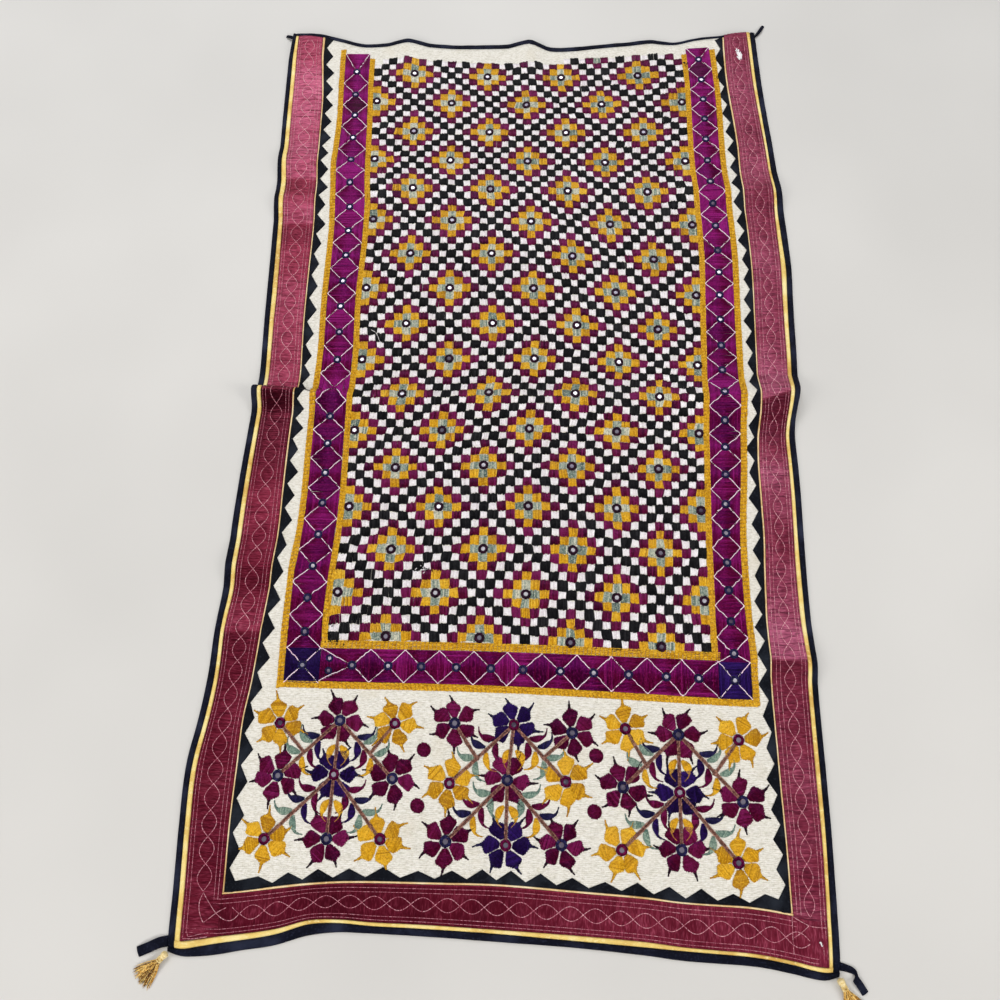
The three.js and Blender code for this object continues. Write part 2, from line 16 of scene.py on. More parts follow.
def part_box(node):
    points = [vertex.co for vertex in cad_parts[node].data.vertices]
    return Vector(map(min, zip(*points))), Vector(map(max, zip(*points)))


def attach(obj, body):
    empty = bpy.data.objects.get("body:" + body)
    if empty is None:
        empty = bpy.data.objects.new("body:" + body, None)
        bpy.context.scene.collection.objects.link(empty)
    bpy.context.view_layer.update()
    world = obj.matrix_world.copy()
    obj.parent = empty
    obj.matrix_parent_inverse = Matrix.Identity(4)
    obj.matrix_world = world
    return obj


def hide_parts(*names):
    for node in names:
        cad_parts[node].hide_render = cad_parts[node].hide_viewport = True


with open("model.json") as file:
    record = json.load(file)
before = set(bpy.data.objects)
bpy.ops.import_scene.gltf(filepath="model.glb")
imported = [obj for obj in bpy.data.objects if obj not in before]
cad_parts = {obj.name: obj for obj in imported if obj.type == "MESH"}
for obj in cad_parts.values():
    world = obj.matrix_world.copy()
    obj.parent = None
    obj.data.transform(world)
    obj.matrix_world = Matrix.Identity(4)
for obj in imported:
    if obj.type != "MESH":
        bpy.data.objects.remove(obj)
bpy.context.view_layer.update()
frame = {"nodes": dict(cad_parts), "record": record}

MM = 0.001
BODY = "root"

# The drawing's origin lies 240 mm up the cloth from the mount on the underside
UNDERSIDE_IN_DRAWING = np.array([0.0, -240.0, 0.0])
mounts = {mount["name"]: mount for mount in frame["record"]["mounts"]}
ORIGIN = np.array(mounts["underside"]["pos_m"]) / MM - UNDERSIDE_IN_DRAWING

# Thickness of each cloth
PANEL_THICK = 1.6
SAWTOOTH_LIFT = 1.9
SAWTOOTH_THICK = 1.0
INNER_PIPING_THICK = 2.8
BORDER_THICK = 2.2
BORDER_CROWN = 0.8
OUTER_PIPING_THICK = 2.2
BINDING_THICK = 3.0

SIDES = ("left", "right", "bottom")
CLOTH_NODES = ["ground_panel", "binding_top"] + [
    f"{strip}_{side}"
    for strip in ("inner_piping", "border", "outer_piping", "binding")
    for side in SIDES
]


# Curves and noise

def paired(f, q):
    """Two numbers or arrays, as arrays of one shape."""
    return np.broadcast_arrays(np.asarray(f, float), np.asarray(q, float))


def placed(along, off, upright):
    """Places of the drawing, by distances along and off an upright line or a level one."""
    return np.stack([off, along] if upright else [along, off], axis=-1)


def path_steps(path):
    """Lengths of the steps along a path."""
    return np.linalg.norm(np.diff(path, axis=0), axis=1)


def ray(angle):
    """Unit vectors at angles from the drawing's x axis."""
    return np.stack([np.cos(angle), np.sin(angle)], axis=-1)


def leftwards(heading):
    """A heading after a quarter turn to the left."""
    return np.array([-heading[1], heading[0]])


def smooth(at, xs, ys):
    """A smooth curve through points, flat beyond its ends."""
    xs, ys = np.asarray(xs, float), np.asarray(ys, float)
    at = np.clip(np.asarray(at, float), xs[0], xs[-1])
    slope = np.gradient(ys, xs)
    k = np.clip(np.searchsorted(xs, at) - 1, 0, len(xs) - 2)
    span = xs[k + 1] - xs[k]
    t = (at - xs[k]) / span
    rise = ys[k + 1] - ys[k]
    bend = t * (1 - t) * ((slope[k] * span - rise) * (1 - t) + (rise - slope[k + 1] * span) * t)
    return ys[k] + t * rise + bend


def table_curve(table):
    """The smooth curve through a table of (place, value) rows."""
    rows = np.array(sorted(table), float)
    return lambda at: smooth(at, rows[:, 0], rows[:, 1])


def waves(x, y, lengths, seed):
    """Soft uneven waves between about -1 and 1, one for each wavelength across and along."""
    rng = np.random.default_rng(seed)
    total = np.zeros(np.broadcast(x, y).shape)
    for across, along in lengths:
        turn, phase = rng.uniform(-0.5, 0.5), rng.uniform(0, 2 * math.pi, 3)
        u = (x + turn * y) / across
        v = (y - turn * x) / along
        total += np.sin(2 * math.pi * u + phase[0] + 1.3 * np.sin(2 * math.pi * 0.37 * v + phase[2])) \
            * np.sin(2 * math.pi * v + phase[1])
    return total / len(lengths)


# Reading the solids

MERGE_DIGITS = 2
UNDER_FACING = 0.3


def solid_mesh(node):
    """Corner points in the drawing, and triangles, of a solid."""
    mesh = frame["nodes"][node].data
    points = np.empty(3 * len(mesh.vertices), np.float32)
    mesh.vertices.foreach_get("co", points)
    mesh.calc_loop_triangles()
    corners = np.empty(3 * len(mesh.loop_triangles), np.int32)
    mesh.loop_triangles.foreach_get("vertices", corners)
    points = points.reshape(-1, 3) / MM - ORIGIN
    merged, where = np.unique(points.round(MERGE_DIGITS), axis=0, return_inverse=True)
    return merged, where.ravel()[corners].reshape(-1, 3)


def rim_sides(node):
    """The four sides of the rim round a solid's underside, from corner to corner, in order."""
    points, triangles = solid_mesh(node)
    a, b, c = (points[triangles[:, k]] for k in range(3))
    normal = np.cross(b - a, c - a)
    facing = normal[:, 2] / np.maximum(np.linalg.norm(normal, axis=1), 1e-9)
    under = triangles[facing < -UNDER_FACING]
    edges = {(int(t[k]), int(t[(k + 1) % 3])) for t in under for k in range(3)}
    following = {p: q for p, q in edges if (q, p) not in edges}
    loop = [min(following)]
    while following[loop[-1]] != loop[0]:
        loop.append(following[loop[-1]])
    ring = points[loop]
    ahead = np.roll(ring, -1, axis=0) - ring
    heading = np.arctan2(ahead[:, 1], ahead[:, 0])
    turn = np.abs((heading - np.roll(heading, 1) + math.pi) % (2 * math.pi) - math.pi)
    corners = np.sort(np.argsort(turn)[-4:])
    ring = np.roll(ring, -corners[0], axis=0)
    ends = list(corners - corners[0]) + [len(ring)]
    ring = np.vstack([ring, ring[:1]])
    return [ring[ends[k]:ends[k + 1] + 1] for k in range(4)]


def rails(node):
    """The two long sides of a strip, lower or left one first, each from its lower or left end."""
    sides = rim_sides(node)
    length = [path_steps(side).sum() for side in sides]
    pair = sides[0::2] if length[0] + length[2] > length[1] + length[3] else sides[1::2]
    extent = np.ptp(np.vstack(pair), axis=0)
    main = 1 if extent[1] > extent[0] else 0
    pair = [side if side[0, main] < side[-1, main] else side[::-1] for side in pair]
    pair.sort(key=lambda side: side[:, 1 - main].mean())
    return pair, main


class Strip:
    """A strip of cloth between two rails: f runs along it and q across it, both from 0 to 1."""

    tuck = 0.0

    def __init__(self, node):
        (self.low, self.high), self.main = rails(node)
        self.length = float(np.abs(self.low[-1, self.main] - self.low[0, self.main]))
        self.width = float(np.linalg.norm(self.at(FRACTIONS, 0) - self.at(FRACTIONS, 1), axis=1).mean())

    def rail(self, side, f):
        at = side[0, self.main] + f * (side[-1, self.main] - side[0, self.main])
        off = smooth(at, side[:, self.main], side[:, 1 - self.main])
        return placed(at, off, self.main)

    def at(self, f, q):
        f, q = paired(f, q)
        q = q[..., None]
        return self.rail(self.low, f) * (1 - q) + self.rail(self.high, f) * q

    def foot(self, f, q):
        """Heights of the strip's own underside."""
        f, q = paired(f, q)
        low, high = (np.interp(f, np.linspace(0, 1, len(side)), side[:, 2]) for side in (self.low, self.high))
        return low * (1 - q) + high * q

    def grid(self, step, across):
        f = np.linspace(0, 1, max(2, round(self.length / step)) + 1)
        if self.main:
            fold = (FOLD_ROWS - self.low[0, 1]) / self.length
            f = np.unique(np.concatenate([f, fold[(fold > 0) & (fold < 1)]]))
        f[0] = -self.tuck / self.length
        q = np.linspace(0, 1, across)
        return np.broadcast_arrays(f[:, None], q[None, :])


FRACTIONS = np.linspace(0.05, 0.95, 60)
FOLD_ROWS = np.arange(18.3, 60, 2.0)


# The cloth's underside, as a height above the floor, softened from the solids' flat faces

CELL = np.array([4.0, 2.0])
SOFTEN = 3.6
LOW_CORNER = np.array([-480.0, -832.0])
HIGH_CORNER = np.array([496.0, 820.0])
BELOW_FLOOR = -50.0

# Creases that are finer than the solids: two ends, half width and height, in millimetres
FINE_CREASES = [
    ((-452, 466), (-60, 447), 6, 0.9),
    ((90, 446), (470, 437), 6, 0.8),
    ((-448, 369), (-250, 366), 5, 0.9),
    ((-425, 30), (-210, 21), 6, 1.6),
    ((-210, 26), (240, 24), 8, 1.2),
    ((240, 24), (470, 38), 7, 2.0),
    ((-440, -14), (-330, -20), 5, 0.8),
    ((340, 6), (440, 14), 4, -0.9),
    ((-455, -370), (-120, -374), 6, 0.9),
    ((100, -385), (462, -400), 6, 0.9),
    ((18, 772), (26, 560), 12, 1.4),
    ((-222, 778), (-214, 620), 14, 1.2),
    ((-300, -560), (-120, -610), 16, 0.7),
    ((120, -600), (330, -566), 16, 0.7),
]
# The fold's far side at the left is steep: heights there come from further up the cloth
FOLD_FROM = -260.0
FOLD_FULL = -340.0
FOLD_SHIFT = table_curve([(-900, 0), (31, 0), (33, 1.5), (38, 11.5), (42, 11), (52, 6), (66, 0), (900, 0)])
CREASE_ENDS = 4
RIPPLE_HEIGHT = 0.55
RIPPLE_SEED = 3
RIPPLE_LENGTHS = [(150, 120), (90, 70), (60, 110), (230, 180)]


def fine_creases(x, y):
    total = RIPPLE_HEIGHT * (1 + waves(x, y, RIPPLE_LENGTHS, RIPPLE_SEED))
    for start, end, wide, high in FINE_CREASES:
        start, end = np.array(start, float), np.array(end, float)
        way = end - start
        t = ((x - start[0]) * way[0] + (y - start[1]) * way[1]) / (way @ way)
        off = np.hypot(x - start[0] - t * way[0], y - start[1] - t * way[1])
        ends = np.clip(CREASE_ENDS * t, 0, 1) * np.clip(CREASE_ENDS * (1 - t), 0, 1)
        total += high * ends * np.exp(-(off / wide) ** 2)
    return total


def soften(grid, spread):
    for axis in (0, 1):
        reach = int(math.ceil(3 * spread[axis]))
        weights = np.exp(-0.5 * (np.arange(-reach, reach + 1) / spread[axis]) ** 2)
        weights /= weights.sum()
        padded = np.pad(grid, [(reach, reach) if k == axis else (0, 0) for k in (0, 1)], mode="edge")
        grid = sum(
            weight * np.take(padded, np.arange(n, n + grid.shape[axis]), axis=axis)
            for n, weight in enumerate(weights)
        )
    return grid


def underside_grid():
    points, triangles, count = [], [], 0
    for node in CLOTH_NODES:
        own_points, own_triangles = solid_mesh(node)
        points.append(own_points)
        triangles.append(own_triangles + count)
        count += len(own_points)
    tree = BVHTree.FromPolygons(np.vstack(points).tolist(), np.vstack(triangles).tolist())
    xs = np.arange(LOW_CORNER[0], HIGH_CORNER[0], CELL[0])
    ys = np.arange(LOW_CORNER[1], HIGH_CORNER[1], CELL[1])
    height = np.full((len(xs), len(ys)), np.nan)
    up = Vector((0, 0, 1))
    for i, x in enumerate(xs):
        for j, y in enumerate(ys):
            hit = tree.ray_cast(Vector((x, y, BELOW_FLOOR)), up)[0]
            if hit is not None:
                height[i, j] = hit[2]
    while np.isnan(height).any():
        around = [np.roll(height, step, axis) for axis in (0, 1) for step in (-1, 1)]
        known = [~np.isnan(grid) for grid in around]
        seen = np.sum(known, axis=0)
        total = np.sum([np.where(k, grid, 0) for k, grid in zip(known, around)], axis=0)
        height = np.where(np.isnan(height) & (seen > 0), total / np.maximum(seen, 1), height)
    height = soften(height, SOFTEN / CELL)
    for i, x in enumerate(xs):
        steep = np.clip((FOLD_FROM - x) / (FOLD_FROM - FOLD_FULL), 0, 1)
        height[i] = np.interp(ys + steep * FOLD_SHIFT(ys), ys, height[i])
    x, y = np.meshgrid(xs, ys, indexing="ij")
    return height + fine_creases(x, y)


HEIGHT = underside_grid()
SLOPES = np.gradient(HEIGHT, *CELL)


def sample(grid, xy):
    place = (xy - LOW_CORNER) / CELL
    limit = np.array(grid.shape) - 2
    cell = np.clip(np.floor(place).astype(int), 0, limit)
    t = np.clip(place - cell, 0, 1)
    i, j = cell[..., 0], cell[..., 1]
    u, v = t[..., 0], t[..., 1]
    near = grid[i, j] * (1 - u) + grid[i + 1, j] * u
    far = grid[i, j + 1] * (1 - u) + grid[i + 1, j + 1] * u
    return near * (1 - v) + far * v


def cloth_normal(xy):
    normal = np.stack([-sample(SLOPES[0], xy), -sample(SLOPES[1], xy), np.ones(xy.shape[:-1])], axis=-1)
    return normal / np.linalg.norm(normal, axis=-1, keepdims=True)


def on_cloth(xy, lift):
    """Points of the drawing, lifted off the cloth's underside along its normal."""
    foot = np.concatenate([xy, sample(HEIGHT, xy)[..., None]], axis=-1)
    return foot + cloth_normal(xy) * np.asarray(lift)[..., None]


# Making pieces

def add_piece(name, points, faces, look, slot, tone=None, soft=True):
    """A mesh piece from drawing points and a list of faces, or an array of faces of one size."""
    mesh = bpy.data.meshes.new(name)
    points = (np.asarray(points, float).reshape(-1, 3) + ORIGIN) * MM
    if isinstance(faces, np.ndarray):
        mesh.vertices.add(len(points))
        mesh.vertices.foreach_set("co", points.astype(np.float32).ravel())
        mesh.loops.add(faces.size)
        mesh.loops.foreach_set("vertex_index", faces.astype(np.int32).ravel())
        mesh.polygons.add(len(faces))
        mesh.polygons.foreach_set("loop_start", np.arange(0, faces.size, faces.shape[1], dtype=np.int32))
    else:
        mesh.from_pydata(points.tolist(), [], faces)
    if tone is not None:
        shade = mesh.attributes.new("tone", "FLOAT", "POINT")
        shade.data.foreach_set("value", np.asarray(tone, np.float32))
    mesh.update(calc_edges=True)
    mesh.validate()
    if soft:
        mesh.shade_smooth()
    else:
        mesh.shade_flat()
    mesh.materials.append(look)
    piece = bpy.data.objects.new(name, mesh)
    bpy.context.scene.collection.objects.link(piece)
    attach(piece, BODY)
    return piece


def grid_faces(n, m, first=0):
    start = first + (np.arange(n - 1)[:, None] * m + np.arange(m - 1)[None, :]).ravel()
    return np.stack([start, start + m, start + m + 1, start + 1], axis=1)


def strip_solid(top, low_edge, high_edge):
    """A closed strip: a grid of points on top, and a plain underside between its two edges."""
    n, m = top.shape[:2]
    points = np.vstack([top.reshape(-1, 3), low_edge, high_edge])
    low, high = n * m + np.arange(n), n * m + n + np.arange(n)
    left, right = np.arange(n) * m, np.arange(n) * m + m - 1
    faces = grid_faces(n, m).tolist()
    for k in range(n - 1):
        faces.append([low[k], low[k + 1], left[k + 1], left[k]])
        faces.append([right[k], right[k + 1], high[k + 1], high[k]])
        faces.append([high[k], high[k + 1], low[k + 1], low[k]])
    faces.append([low[0], *range(m), high[0]])
    faces.append([high[-1], *range(n * m - 1, n * m - m - 1, -1), low[-1]])
    return points, [[int(v) for v in face] for face in faces]


def outward(points, faces):
    """The faces, turned over if the closed mesh is inside out."""
    volume = 0.0
    for face in faces:
        a = points[face[0]]
        for k in range(1, len(face) - 1):
            volume += a @ np.cross(points[face[k]], points[face[k + 1]])
    return faces if volume > 0 else [face[::-1] for face in faces]


def sheet_piece(name, node, strip, lift, step, across, look, slot, tone=None):
    """A strip of cloth on its solid's place, whose top has the given lift at each f and q.
    """
    f, q = strip.grid(step, across)
    xy = strip.at(f, q)
    top = on_cloth(xy, lift(f, q))
    ground = np.zeros(len(xy))
    points, faces = strip_solid(top, on_cloth(xy[:, 0], ground), on_cloth(xy[:, -1], ground))
    shade = None
    if tone is not None:
        shade = np.concatenate([tone(xy).ravel(), tone(xy[:, 0]), tone(xy[:, -1])])
    piece = add_piece(name, points, outward(points, faces), look, slot, shade)
    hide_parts(node)
    way = path_steps(top[:, across // 2]).sum()
    return piece


class Stitches:
    """Stitches of one thread, kept as arrays and made into one mesh of closed spindles."""

    TAPER = 1.1
    MOST_TAPER = 0.12
    TIP_LIFT = 0.4
    MOST_SAG = 0.15
    SECTIONS = ((0, 2), (1, 5), (20, 17))
    # Stitch tips are painted darker by this much, as painted shade where they dive into the cloth
    TIP_PAINTED_SHADE = 0.55

    def __init__(self):
        self.rows = []

    def add(self, start, end, width, lift, rise, tone):
        start = np.asarray(start, float).reshape(-1, 2)
        end = np.asarray(end, float).reshape(-1, 2)
        values = [np.broadcast_to(value, len(start)) for value in (width, lift, rise, np.clip(tone, 0, 1))]
        self.rows.append(np.column_stack([start, end, *values]))

    def spindles(self, rows, stations):
        """Points and faces of closed spindles, one for each row, with so many sections along each."""
        start, end = rows[:, 0:2], rows[:, 2:4]
        width, lift, rise, tone = rows[:, 4:].T
        way = end - start
        side = np.stack([-way[:, 1], way[:, 0]], axis=1)
        length = np.maximum(np.linalg.norm(way, axis=1), 1e-6)
        side *= (width / 2 / length)[:, None]
        taper = np.minimum(self.MOST_TAPER, self.TAPER / length)
        rings = [on_cloth(start, self.TIP_LIFT * lift)[:, None]]
        for share in np.linspace(0, 1, stations):
            middle = start + (taper + share * (1 - 2 * taper))[:, None] * way
            rings.append(np.stack([
                on_cloth(middle + side, lift),
                on_cloth(middle, lift + rise),
                on_cloth(middle - side, lift),
            ], axis=1))
        rings.append(on_cloth(end, self.TIP_LIFT * lift)[:, None])
        points = np.concatenate(rings, axis=1)
        count = points.shape[1]
        faces = []
        for a, b in ((0, 1), (1, 2), (2, 0)):
            faces.append([0, 1 + b, 1 + a])
            faces.append([count - 1, count - 4 + a, count - 4 + b])
            for k in range(stations - 1):
                low, high = 1 + 3 * k, 4 + 3 * k
                faces.append([low + a, low + b, high + b])
                faces.append([low + a, high + b, high + a])
        faces = np.array(faces)[None] + count * np.arange(len(rows))[:, None, None]
        tone = np.repeat(tone[:, None], count, axis=1)
        tone[:, [0, -1]] -= self.TIP_PAINTED_SHADE
        return points.reshape(-1, 3), faces.reshape(-1, 3), np.clip(tone, 0, 1).ravel()

    def piece(self, name, look, slot, soft=True):
        """One mesh of all the stitches: those over a crease have more sections."""
        rows = np.vstack(self.rows)
        start, end = rows[:, 0:2], rows[:, 2:4]
        chord = (sample(HEIGHT, start) + sample(HEIGHT, end)) / 2
        sag = np.max([
            sample(HEIGHT, start + share * (end - start)) - chord for share in (0.3, 0.5, 0.7)], axis=0)
        length = np.where(sag > self.MOST_SAG, np.linalg.norm(end - start, axis=1), 0)
        points, faces, tone, count = [], [], [], 0
        for k, (shortest, stations) in enumerate(self.SECTIONS):
            longest = self.SECTIONS[k + 1][0] if k + 1 < len(self.SECTIONS) else math.inf
            chosen = rows[(length >= shortest) & (length < longest)]
            if len(chosen):
                made = self.spindles(chosen, stations)
                points.append(made[0])
                faces.append(made[1] + count)
                tone.append(made[2])
                count += len(made[0])
        points, faces, tone = np.vstack(points), np.vstack(faces), np.concatenate(tone)
        return add_piece(name, points, faces, look, slot, tone, soft)


# Materials

def colour(red, green, blue):
    """A colour of 0 to 255 as the eye sees it, in linear values."""
    share = np.array([red, green, blue]) / 255
    linear = np.where(share <= 0.04045, share / 12.92, ((share + 0.055) / 1.055) ** 2.4)
    return (*linear.tolist(), 1.0)


class Look:
    """A material with the nodes that the cloths and threads share."""

    SHEEN_ROUGHNESS = 0.4

    def __init__(self, name, roughness, sheen=0.0, specular=0.5, gloss=(255, 255, 255), bending=1.5):
        self.material = bpy.data.materials.new(name)
        self.material.use_nodes = True
        self.nodes = self.material.node_tree.nodes
        self.links = self.material.node_tree.links
        self.shader = self.nodes["Principled BSDF"]
        settings = {
            "Roughness": roughness, "Sheen Weight": sheen, "Sheen Roughness": self.SHEEN_ROUGHNESS,
            "Sheen Tint": colour(*gloss), "Specular IOR Level": specular,
            "Specular Tint": colour(*gloss), "IOR": bending,
        }
        for socket, value in settings.items():
            self.shader.inputs[socket].default_value = value
        self.place = self.nodes.new("ShaderNodeTexCoord").outputs["Object"]

    def scaled(self, size):
        """Places divided by a size in millimetres along each axis."""
        node = self.nodes.new("ShaderNodeVectorMath")
        node.operation = "MULTIPLY"
        node.inputs[1].default_value = [1 / (MM * length) for length in size]
        self.links.new(self.place, node.inputs[0])
        return node.outputs[0]

    def noise(self, size, detail=3.0, distortion=0.0):
        node = self.nodes.new("ShaderNodeTexNoise")
        node.inputs["Scale"].default_value = 1.0
        node.inputs["Detail"].default_value = detail
        node.inputs["Distortion"].default_value = distortion
        self.links.new(self.scaled(size), node.inputs["Vector"])
        return node.outputs["Fac"]

    def tone(self):
        node = self.nodes.new("ShaderNodeAttribute")
        node.attribute_name = "tone"
        return node.outputs["Fac"]

    def ramp(self, value, stops):
        node = self.nodes.new("ShaderNodeValToRGB")
        while len(node.color_ramp.elements) < len(stops):
            node.color_ramp.elements.new(0.5)
        for element, (place, shade) in zip(node.color_ramp.elements, stops):
            element.position = place
            element.color = colour(*shade)
        self.links.new(value, node.inputs["Fac"])
        return node.outputs["Color"]

    def mask(self, value, low, high, most=1.0):
        node = self.nodes.new("ShaderNodeMapRange")
        node.inputs["From Min"].default_value = low
        node.inputs["From Max"].default_value = high
        node.inputs["To Max"].default_value = most
        self.links.new(value, node.inputs["Value"])
        return node.outputs["Result"]

    def swayed(self, value, noise, share):
        """A value raised by a share of a noise."""
        node = self.nodes.new("ShaderNodeMath")
        node.operation = "MULTIPLY_ADD"
        node.inputs[1].default_value = share
        self.links.new(noise, node.inputs[0])
        self.links.new(value, node.inputs[2])
        return node.outputs[0]

    def mix(self, factor, first, second, blend="MIX"):
        node = self.nodes.new("ShaderNodeMix")
        node.data_type = "RGBA"
        node.blend_type = blend
        for socket, value in ((node.inputs[0], factor), (node.inputs[6], first), (node.inputs[7], second)):
            if isinstance(value, (tuple, float)):
                socket.default_value = value
            else:
                self.links.new(value, socket)
        return node.outputs[2]

    def paint(self, shade):
        self.links.new(shade, self.shader.inputs["Base Color"])

    def bump(self, heights):
        """Bumps one on another: pairs of a height's socket and its depth in millimetres."""
        normal = None
        for height, depth in heights:
            node = self.nodes.new("ShaderNodeBump")
            node.inputs["Strength"].default_value = 1.0
            node.inputs["Distance"].default_value = depth * MM
            self.links.new(height, node.inputs["Height"])
            if normal is not None:
                self.links.new(normal, node.inputs["Normal"])
            normal = node.outputs["Normal"]
        self.links.new(normal, self.shader.inputs["Normal"])

    def weave(self, axis, pitch):
        node = self.nodes.new("ShaderNodeTexWave")
        node.bands_direction = axis
        node.inputs["Scale"].default_value = 2 * math.pi / 20
        node.inputs["Distortion"].default_value = 1.2
        node.inputs["Detail"].default_value = 1.0
        self.links.new(self.scaled((pitch, pitch, pitch)), node.inputs["Vector"])
        return node.outputs["Fac"]


def cotton_look():
    """Cream handloom cotton, with slubs along its weft, a plain weave and faint stains."""
    look = Look("cotton", 0.9, sheen=0.15, specular=0.25)
    weft = look.noise((5.0, 1.1, 5.0), detail=3)
    warp = look.noise((1.0, 4.5, 4.5), detail=3)
    rows = look.weave("Y", 2.5)
    stain = look.noise((70, 60, 60), detail=3)
    shade = look.ramp(weft, [(0.3, (204, 199, 185)), (0.5, (236, 232, 221)), (0.7, (246, 243, 237))])
    shade = look.mix(look.mask(warp, 0.55, 0.78, 0.5), shade, colour(190, 182, 162))
    shade = look.mix(look.mask(rows, 0.35, 0.0, 0.3), shade, colour(188, 180, 160))
    shade = look.mix(look.mask(stain, 0.58, 0.85, 0.6), shade, colour(212, 200, 172))
    look.paint(shade)
    look.bump([(weft, 0.6), (warp, 0.4), (rows, 0.3), (look.weave("X", 1.6), 0.2)])
    return look.material


# Satin from its painted shade in folds to its painted sheen, its rubbed streaks paler where the sheen is
# painted, the painted shade of its crimps and pleats, and its specks
SATIN_SHADES = [
    (0.0, (16, 0, 3)), (0.2, (44, 4, 11)), (0.39, (72, 10, 24)), (0.575, (106, 31, 48)),
    (0.76, (136, 58, 81)), (0.9, (164, 82, 110)), (1.0, (187, 99, 129)),
]
SATIN_RUBBED_AND_SHEEN = [(0.0, (40, 6, 12)), (0.4, (118, 42, 60)), (0.6, (164, 76, 98)), (0.95, (214, 130, 156))]
SATIN_CREASE_SHADE = (38, 2, 9)
SATIN_SPECK = (60, 6, 18)


def satin_look(name, upright, crimp_depth, crimp_shade, gloss):
    """Maroon satin: painted sheen where its tone is high and painted shade where it is low, streaked, and
    crimped across its strip by the quilting, with painted shade in its crimps and pleats.
    """
    look = Look(name, 0.4, sheen=0.08, specular=1.0, gloss=gloss, bending=1.6)

    def lying(across, along):
        return (across, along, across) if upright else (along, across, across)

    streak = look.noise(lying(9, 1.6), detail=4)
    speck = look.noise(lying(13, 2.2), detail=3)
    crimp = look.noise(lying(20, 3.6), detail=2, distortion=0.6)
    pleat = look.noise(lying(110, 3.2), detail=1)
    # The tone carries the painted sheen and shade, swayed by a mottling noise
    sheen_and_shade = look.swayed(look.tone(), look.noise((60, 50, 50), detail=4), 0.4)
    shade = look.ramp(sheen_and_shade, SATIN_SHADES)
    rubbed_and_sheen = look.ramp(sheen_and_shade, SATIN_RUBBED_AND_SHEEN)
    shade = look.mix(look.mask(streak, 0.5, 0.66, 0.8), shade, rubbed_and_sheen)
    # Crimps and pleats are painted dark, as their shade
    shade = look.mix(look.mask(crimp, 0.52, 0.64, crimp_shade), shade, colour(*SATIN_CREASE_SHADE))
    shade = look.mix(look.mask(pleat, 0.6, 0.68, crimp_shade), shade, colour(*SATIN_CREASE_SHADE))
    shade = look.mix(look.mask(speck, 0.5, 0.7, 0.55), shade, colour(*SATIN_SPECK))
    look.paint(shade)
    weave = look.weave("Y", 0.9)
    look.bump([(crimp, crimp_depth), (pleat, 0.8), (streak, 0.3), (speck, 0.12), (weave, 0.05)])
    return look.material


def plain_cloth_look(name, shades, grain=(3, 3, 3), roughness=0.8, depth=0.25, specular=0.25):
    """Plain woven cloth of three shades, from darkest to palest, in random patches, with flecks of the
    palest.
    """
    look = Look(name, roughness, specular=specular)
    wide = look.noise((40, 40, 40), detail=4)
    fine = look.noise(grain, detail=3)
    shade = look.ramp(wide, list(zip((0.3, 0.5, 0.7), shades)))
    shade = look.mix(look.mask(fine, 0.55, 0.75), shade, colour(*shades[2]))
    look.paint(shade)
    look.bump([(fine, depth), (look.weave("X", 1.0), 0.08), (look.weave("Y", 1.0), 0.08)])
    return look.material


def thread_look(name, shades, faded, roughness=0.5, specular=0.3, gloss=(255, 255, 255), bending=1.5):
    """Embroidery thread: each stitch has its own tone, specks run over them, and patches are faded."""
    look = Look(name, roughness, 0.0, specular, gloss, bending)
    shade = look.ramp(look.tone(), list(zip((0.0, 0.5, 1.0), shades)))
    fade = look.noise((60, 60, 60), detail=4)
    speck = look.noise((3.4, 3.0, 3.0), detail=2)
    fleck = look.noise((1.5, 1.8, 1.5), detail=1)
    shade = look.mix(look.mask(fade, 0.5, 0.78, 0.7), shade, colour(*faded))
    for grain in (speck, fleck):
        shade = look.mix(look.mask(grain, 0.52, 0.7, 0.6), shade, colour(*shades[0]))
        shade = look.mix(look.mask(grain, 0.46, 0.28, 0.6), shade, colour(*shades[2]))
    look.paint(shade)
    look.bump([(look.noise((1.1, 1.1, 1.1), detail=2), 0.25)])
    return look.material


def mirror_look():
    """Old silvered glass, with a painted reflection in its base colour, of its own strength on each one, grey
    where the silver has gone.
    """
    look = Look("mirror_glass", 0.16, specular=0.6)
    look.shader.inputs["Metallic"].default_value = 0.4
    tarnish = look.noise((4, 4, 4), detail=4)
    shade = look.ramp(look.tone(), [(0.0, (84, 74, 94)), (0.35, (150, 144, 160)), (0.85, (232, 228, 236))])
    shade = look.mix(look.mask(tarnish, 0.52, 0.7, 0.6), shade, colour(140, 136, 152))
    look.paint(shade)
    look.bump([(look.noise((3.5, 3.5, 3.5), detail=1), 0.03)])
    return look.material


def floor_look():
    look = Look("floor", 0.75, specular=0.3)
    cloud = look.noise((500, 500, 500), detail=2)
    look.paint(look.ramp(cloud, [(0.3, (206, 204, 200)), (0.7, (214, 212, 208))]))
    return look.material


